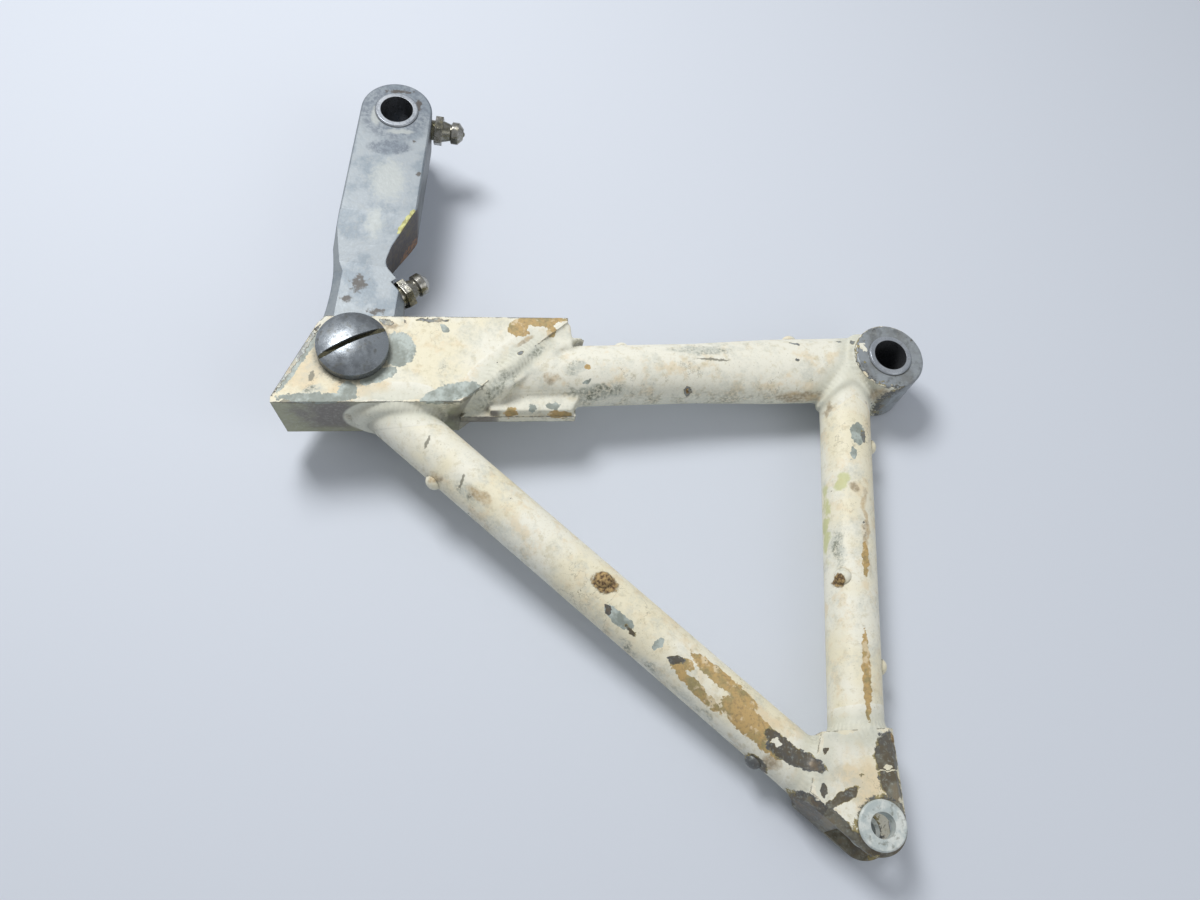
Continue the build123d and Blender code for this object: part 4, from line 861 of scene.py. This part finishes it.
def link_metal(name):
    """The arm's silver-grey metal, mottled, with a yellow-green chip, painted shade on its side walls
    and black-brown painted shade in its notch.
    """
    g = Graph(name)
    near = g.moved_place(*ARM_BORDER)
    broad = g.noise(*ARM_BROAD_NOISE)
    fine = g.noise(*ARM_FINE_NOISE)
    flat = g.step(g.math("ABSOLUTE", g.facing(ABOVE)), 0.2, 0.7)
    side = g.minus(1.0, flat)

    # The metal: mottling, darker edges and eye, painted shade on the side walls, and paler rubbed places
    colour = g.mix(g.step(broad, 0.44, 0.60), ARM_SILVER, ARM_GREY)
    colour = g.mix(g.times(g.step(fine, 0.50, 0.66), 0.45), colour, ARM_FLECKS)
    worn = g.times(g.step(g.edges(0.9), 0.012, 0.10), g.step(broad, 0.33, 0.52))
    colour = g.mix(g.times(worn, 0.85), colour, ARM_BLUE)
    # Painted shade: side walls darker than the flat faces
    wall_shade = g.mix(g.step(broad, 0.42, 0.58), WALL_SHADE_DARK, WALL_SHADE_GREY)
    colour = g.mix(g.times(side, 0.85), colour, wall_shade)
    eye = g.step(g.spots(ARM_EYE, near), -0.1, 0.3)
    colour = g.mix(g.times(eye, g.blend(g.step(fine, 0.40, 0.60), 0.35, 0.9)), colour, ARM_BLUE)
    rubbed = g.step(g.plus(g.spots(ARM_PALE, near), g.minus(fine, 0.5)), -0.05, 0.5)
    colour = g.mix(g.times(rubbed, 0.75), colour, ARM_WHITE)

    # The chip, the notch's painted shade and orange stain, smudges, and painted shade in the corners
    chip = g.step(g.spots(ARM_CHIP, near), 0.0, 0.12)
    colour = g.mix(chip, colour, g.mix(g.step(fine, 0.4, 0.6), CHIP_YELLOW, CHIP_OLIVE))
    # Painted shade: black and brown on the notch's walls
    notch_shade = g.step(g.plus(g.spots(ARM_NOTCH_SHADE, near), g.times(fine, 0.3)), 0.1, 0.4)
    notch_shade_colour = g.mix(g.step(fine, 0.4, 0.62), NOTCH_SHADE_BLACK, NOTCH_SHADE_BROWN)
    colour = g.mix(g.times(g.times(notch_shade, side), 0.9), colour, notch_shade_colour)
    orange = g.times(g.step(g.spots(ARM_ORANGE, near), 0.0, 0.3), g.step(fine, 0.42, 0.56))
    colour = g.mix(g.times(g.times(orange, side), 0.75), colour, ORANGE_STAIN)
    smudge = g.plus(g.spots(ARM_SMUDGES, near), g.minus(g.times(fine, 2.2), 1.1))
    colour = g.mix(g.times(g.step(smudge, 0.1, 0.6), 0.85), colour, SMUDGE)
    # Painted shade: darker where the surface is shut in
    colour = g.mix(g.times(g.step(g.crevice(2.0), 0.15, 0.6), 0.6), colour, CORNER_SHADE)

    height = g.plus(g.times(broad, 0.6), g.times(fine, 0.5))
    normal = g.bump(height, ARM_RELIEF, g.rounded(PAINT_EDGE))
    return g.finish(colour, 0.3, g.blend(fine, 0.38, 0.60), normal)


class Seam:
    """Weld line round the end of a tube: points on it and how far along it each one is."""

    def __init__(self, start, direction, half_width, half_height, buried, reach, bead, ripple):
        self.start, self.direction = start, direction
        self.radius = min(half_width, half_height)
        self.bead = bead
        self.ripple = ripple
        side = Vector((direction.y, -direction.x, 0.0))
        self.points = []
        for step in range(SEAM_POINTS):
            angle = tau * step / SEAM_POINTS
            rim = start + side * cos(angle) * half_width + Vector((0, 0, sin(angle) * half_height))
            self.points.append(self.surfacing(rim, buried, reach))
        self.along = [0.0]
        for before, after in zip(self.points, self.points[1:]):
            self.along.append(self.along[-1] + (after - before).length)

    def surfacing(self, rim, buried, reach):
        """Where the line along the tube from a point of its rim comes out of what it is welded to."""
        inside, outside = 0.0, reach
        for _ in range(SEAM_HALVINGS):
            middle = (inside + outside) / 2
            if buried(rim + self.direction * middle):
                inside = middle
            else:
                outside = middle
        return rim + self.direction * inside

    def in_tube(self, point):
        """Whether a point lies inside the tube's wall, past the weld."""
        away = point - self.start
        forward = away.dot(self.direction)
        return forward > 0 and (away - self.direction * forward).length < self.radius - TUBE_MARGIN


def round_seam(start, direction, buried, reach, bead, ripple, radius=BRACE_RADIUS):
    """Weld line of a round tube."""
    return Seam(start, direction, radius, radius, buried, reach, bead, ripple)


def in_boss(point):
    return hypot(point.x, point.y) < BOSS_RADIUS


def in_upper_tube(point):
    away = point - UPPER_START
    side = Vector((UPPER_DIRECTION.y, -UPPER_DIRECTION.x, 0.0))
    return hypot(away.dot(side) / OVAL_HALF_WIDTH, away.z / OVAL_HALF_HEIGHT) < 1.0


def before_scarf(point):
    return (point - SCARF_FRONT).dot(SCARF_NORMAL) < 0.0


def in_web(point):
    return point.y > WEB_Y


def in_corner(point):
    return in_boss(point) or in_upper_tube(point)


def below_clevis_top(point):
    return point.y < CLEVIS_TOP_Y


def past_clevis_edge(point):
    edge = CLEVIS_CORNERS[1] - CLEVIS_CORNERS[0]
    normal = Vector((edge.y, -edge.x, 0.0))
    return (point - CLEVIS_CORNERS[0]).dot(normal) > 0.0


def put(name, data):
    """An object in the scene."""
    body = bpy.data.objects.new(name, data)
    bpy.context.collection.objects.link(body)
    return body


def fused_copy(nodes, names):
    """Copies of CAD nodes fused into one mesh of even small faces."""
    work = bmesh.new()
    for name in names:
        work.from_mesh(nodes[name].data)
    bmesh.ops.remove_doubles(work, verts=work.verts, dist=SAME_PLACE)
    mesh = bpy.data.meshes.new("fusing")
    work.to_mesh(mesh)
    work.free()
    body = put("fusing", mesh)
    remesh = body.modifiers.new("remesh", "REMESH")
    remesh.mode = "VOXEL"
    remesh.voxel_size = VOXEL * MM
    graph = bpy.context.evaluated_depsgraph_get()
    even = bpy.data.meshes.new_from_object(body.evaluated_get(graph))
    bpy.data.objects.remove(body)
    return even


def smooth_step(value, low, high):
    share = np.clip((value - low) / (high - low), 0.0, 1.0)
    return share * share * (3.0 - 2.0 * share)


def relax(points, edges, weights, rounds):
    """Draws each point towards the middle of its neighbours, by its weight."""
    number = len(points)
    ends = np.concatenate((edges, edges[:, ::-1]))
    count = np.maximum(np.bincount(ends[:, 0], minlength=number), 1)
    for _ in range(rounds):
        for axis in range(3):
            total = np.bincount(ends[:, 0], points[ends[:, 1], axis], number)
            points[:, axis] += weights * BLEND_PULL * (total / count - points[:, axis])
    return points


def nearest_on(seam, points):
    """Distance of each point from a seam, and how far along the seam its nearest place is."""
    tree = KDTree(len(seam.points))
    for index, point in enumerate(seam.points):
        tree.insert(point, index)
    tree.balance()
    found = [tree.find(point) for point in points]
    distance = np.array([hit[2] for hit in found])
    along = np.array([seam.along[hit[1]] for hit in found])
    return distance, along


def depth_from(nodes, names, points, wanted):
    """Distance of the wanted points from the surfaces of some nodes, up to the skins' reach."""
    trees = [surface_of(nodes[name].data) for name in names]
    far = np.full(len(points), SKIN_REACH)
    for index in np.flatnonzero(wanted):
        for tree in trees:
            found = tree.find_nearest(Vector(points[index]) * MM, SKIN_REACH * MM)[3]
            if found is not None:
                far[index] = min(far[index], found / MM)
    return far


def read_vectors(collection, key):
    """One vector of each of a mesh's items, as rows of an array."""
    values = np.empty(len(collection) * 3)
    collection.foreach_get(key, values)
    return values.reshape(-1, 3)


def move_to(mesh, points):
    """Puts a mesh's vertices at places in millimetres."""
    mesh.vertices.foreach_set("co", (points * MM).ravel())


def blended(mesh, points, measured, to_weld, rounds):
    """The points with the beads' toes drawn smoothly into what they join."""
    edges = np.empty(len(mesh.edges) * 2, dtype=np.int64)
    mesh.edges.foreach_get("vertices", edges)
    weights = np.zeros(len(points))
    for seam, distance, along in measured:
        weights = np.maximum(weights, 1.0 - smooth_step(distance, seam.bead, seam.bead + BLEND_FADE))
    weights = np.maximum(weights, 1.0 - smooth_step(to_weld, *WELD_FADE))
    return relax(points, edges.reshape(-1, 2), weights, rounds)


def ripple_lift(points, measured):
    """How far the ripples of the beads lift each point."""
    lift = np.zeros(len(points))
    wander = np.array([noise.noise(Vector(p) / WANDER_SIZE) for p in points])
    for seam, distance, along in measured:
        phase = (along + RIPPLE_BOW * distance**2 + RIPPLE_WANDER * wander) / RIPPLE_PITCH
        ripple = 1.0 - (2.0 * (phase % 1.0) - 1.0) ** 2
        bead = 1.0 - smooth_step(distance, seam.bead * RIPPLE_FADE[0], seam.bead * RIPPLE_FADE[1])
        height = RIPPLE_HEIGHT * seam.ripple * (RIPPLE_EVEN + RIPPLE_UNEVEN * wander)
        lift += height * bead * (ripple - RIPPLE_TROUGH)
    return lift


def cut_back(mesh, keep):
    """Deletes the vertices that aren't kept, and smooths the rest."""
    work = bmesh.new()
    work.from_mesh(mesh)
    gone = [vertex for vertex in work.verts if not keep[vertex.index]]
    bmesh.ops.delete(work, geom=gone, context="VERTS")
    for face in work.faces:
        face.smooth = True
    work.to_mesh(mesh)
    work.free()


def weld_skin(name, nodes, names, welds, seams, top, rounds=BLEND_ROUNDS):
    """One skin over a welded corner, up to a height: the solids fused, the beads blended and rippled."""
    mesh = fused_copy(nodes, names + welds)
    points = read_vectors(mesh.vertices, "co") / MM
    measured = [(seam, *nearest_on(seam, points)) for seam in seams]
    nearest = np.min([distance for seam, distance, along in measured], axis=0)
    to_weld = depth_from(nodes, welds, points, nearest < WELD_SEARCH)
    nearest = np.minimum(nearest, to_weld + SKIN_REACH - SKIN_MARGIN)
    keep = (nearest < SKIN_REACH) & (np.abs(points[:, 2]) < top)
    for index in np.flatnonzero(keep):
        if any(seam.in_tube(Vector(points[index])) for seam in seams):
            keep[index] = False

    points = blended(mesh, points, measured, to_weld, rounds)
    move_to(mesh, points)
    mesh.update()
    normals = read_vectors(mesh.vertex_normals, "vector")
    lift = ripple_lift(points, measured) + SKIN_PROUD
    lift -= (SKIN_PROUD + SKIN_TUCK) * smooth_step(nearest, *SKIN_DIP)
    move_to(mesh, points + normals * lift[:, None])
    bead_mask = mesh.attributes.new("bead", "FLOAT", "POINT")
    bead_mask.data.foreach_set("value", 1.0 - smooth_step(nearest, *BEAD_FADE))
    cut_back(mesh, keep)

    mesh.name = name
    mesh.materials.clear()
    mesh.materials.append(worn_paint(name, surface_of(mesh), weld=True))
    body = put(name, mesh)
    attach(body, "truss")
    return body


def fitting_welds(nodes):
    """Skin over the upper tube's scarf joint and the diagonal tube's foot."""
    scarf = round_seam(
        SCARF_SEAM_START, UPPER_DIRECTION * -1, before_scarf,
        reach=80.0, bead=3.0, ripple=1.0, radius=UPPER_RADIUS,
    )
    web = round_seam(WEB_SEAM_START, DIAGONAL_DIRECTION, in_web, reach=40.0, bead=2.6, ripple=0.4)
    skin = weld_skin(
        "fitting_welds", nodes,
        ("link_fitting", "upper_tube", "diagonal_tube"), ("scarf_weld", "diagonal_tube_weld"),
        (scarf, web), top=20.0,
    )
    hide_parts("scarf_weld", "diagonal_tube_weld")


def boss_welds(nodes):
    """Skin over the upper and the cross tube's ends at the boss."""
    boss = Seam(
        UPPER_START, UPPER_DIRECTION, OVAL_HALF_WIDTH, OVAL_HALF_HEIGHT, in_boss,
        reach=20.0, bead=2.4, ripple=0.5,
    )
    corner = round_seam(CROSS_TOP, CROSS_DIRECTION, in_corner, reach=24.0, bead=2.4, ripple=0.3)
    skin = weld_skin(
        "boss_welds", nodes,
        ("pivot_boss", "upper_tube", "cross_tube"), ("boss_weld", "cross_tube_weld"),
        (boss, corner), top=9.0,
    )
    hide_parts("boss_weld", "cross_tube_weld")


def clevis_welds(nodes):
    """Skin over the cross and the diagonal tube's ends at the clevis."""
    cross = round_seam(
        CROSS_AIM, CROSS_DIRECTION * -1, below_clevis_top, reach=60.0, bead=2.2, ripple=0.6
    )
    side = round_seam(
        SIDE_SEAM_START, DIAGONAL_DIRECTION * -1, past_clevis_edge, reach=60.0, bead=2.2, ripple=0.6
    )
    skin = weld_skin(
        "clevis_welds", nodes,
        ("clevis_fitting", "cross_tube", "diagonal_tube"), ("clevis_cross_weld", "clevis_diagonal_weld"),
        (cross, side), top=20.0, rounds=CLEVIS_BLEND_ROUNDS,
    )
    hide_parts("clevis_cross_weld", "clevis_diagonal_weld")


def cover(node, material):
    """Gives a CAD node one material."""
    node.data.materials.clear()
    node.data.materials.append(material)


def dress(nodes):
    """Paint, metals and weld skins."""
    for name in PAINTED:
        cover(nodes[name], worn_paint(name, surface_of(nodes[name].data)))
    fitting_welds(nodes)
    boss_welds(nodes)
    clevis_welds(nodes)
    for name, settings in METALS.items():
        metal = worn_metal(name, **settings)
        for node in METAL_NODES[name]:
            cover(nodes[node], metal)
    cover(nodes["link_arm"], link_metal("link_metal"))


def camera():
    """Camera at the photograph's place."""
    data = bpy.data.cameras.new("camera")
    data.sensor_width = CAMERA_SENSOR
    data.lens = CAMERA_LENS
    data.clip_start = CAMERA_CLIP_START * MM
    right = Vector(CAMERA_RIGHT).normalized()
    up = Vector(CAMERA_UP)
    up = (up - right * up.dot(right)).normalized()
    back = right.cross(up)
    turn = Matrix((right, up, back)).transposed().to_4x4()
    body = put("camera", data)
    body.matrix_world = Matrix.Translation(Vector(CAMERA_PLACE) * MM) @ turn
    bpy.context.scene.camera = body


def floor_turn():
    """Turn whose Z stands on the floor, and a point of the floor."""
    a, b, c = (Vector(p) * MM for p in FLOOR_POINTS)
    up = (b - a).cross(c - a).normalized()
    if up.z < 0:
        up.negate()
    return up.to_track_quat("Z", "Y").to_matrix().to_4x4(), a


def floor():
    """Plain pale floor under the truss."""
    half = FLOOR_SIZE * MM / 2
    corners = [(-half, -half, 0), (half, -half, 0), (half, half, 0), (-half, half, 0)]
    mesh = bpy.data.meshes.new("floor")
    mesh.from_pydata(corners, [], [(0, 1, 2, 3)])
    mesh.materials.append(Graph("floor").finish(FLOOR_COLOUR, 0.0, FLOOR_ROUGHNESS))
    body = put("floor", mesh)
    turn, point = floor_turn()
    body.matrix_world = Matrix.Translation(point) @ turn


def lamp(name, place, size, power):
    """Soft square lamp at a place in millimetres, aimed at the truss."""
    data = bpy.data.lights.new(name, "AREA")
    data.size = size * MM
    data.energy = power
    place, aim = Vector(place) * MM, Vector(LAMP_AIM) * MM
    turn = (place - aim).to_track_quat("Z", "Y").to_matrix().to_4x4()
    body = put(name, data)
    body.matrix_world = Matrix.Translation(place) @ turn


def lights():
    """Even room light with a large soft lamp behind and to the left, and a weak one at the front."""
    world = bpy.data.worlds.new("world")
    bpy.context.scene.world = world
    world.use_nodes = True
    background = world.node_tree.nodes["Background"]
    background.inputs["Color"].default_value = ROOM_COLOUR
    background.inputs["Strength"].default_value = ROOM_STRENGTH
    for name, (place, size, power) in LAMPS.items():
        lamp(name, place, size, power)


def main():
    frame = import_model()
    camera()
    floor()
    lights()
    dress(frame["nodes"])
    bpy.context.scene.view_settings.view_transform = "Standard"


main()
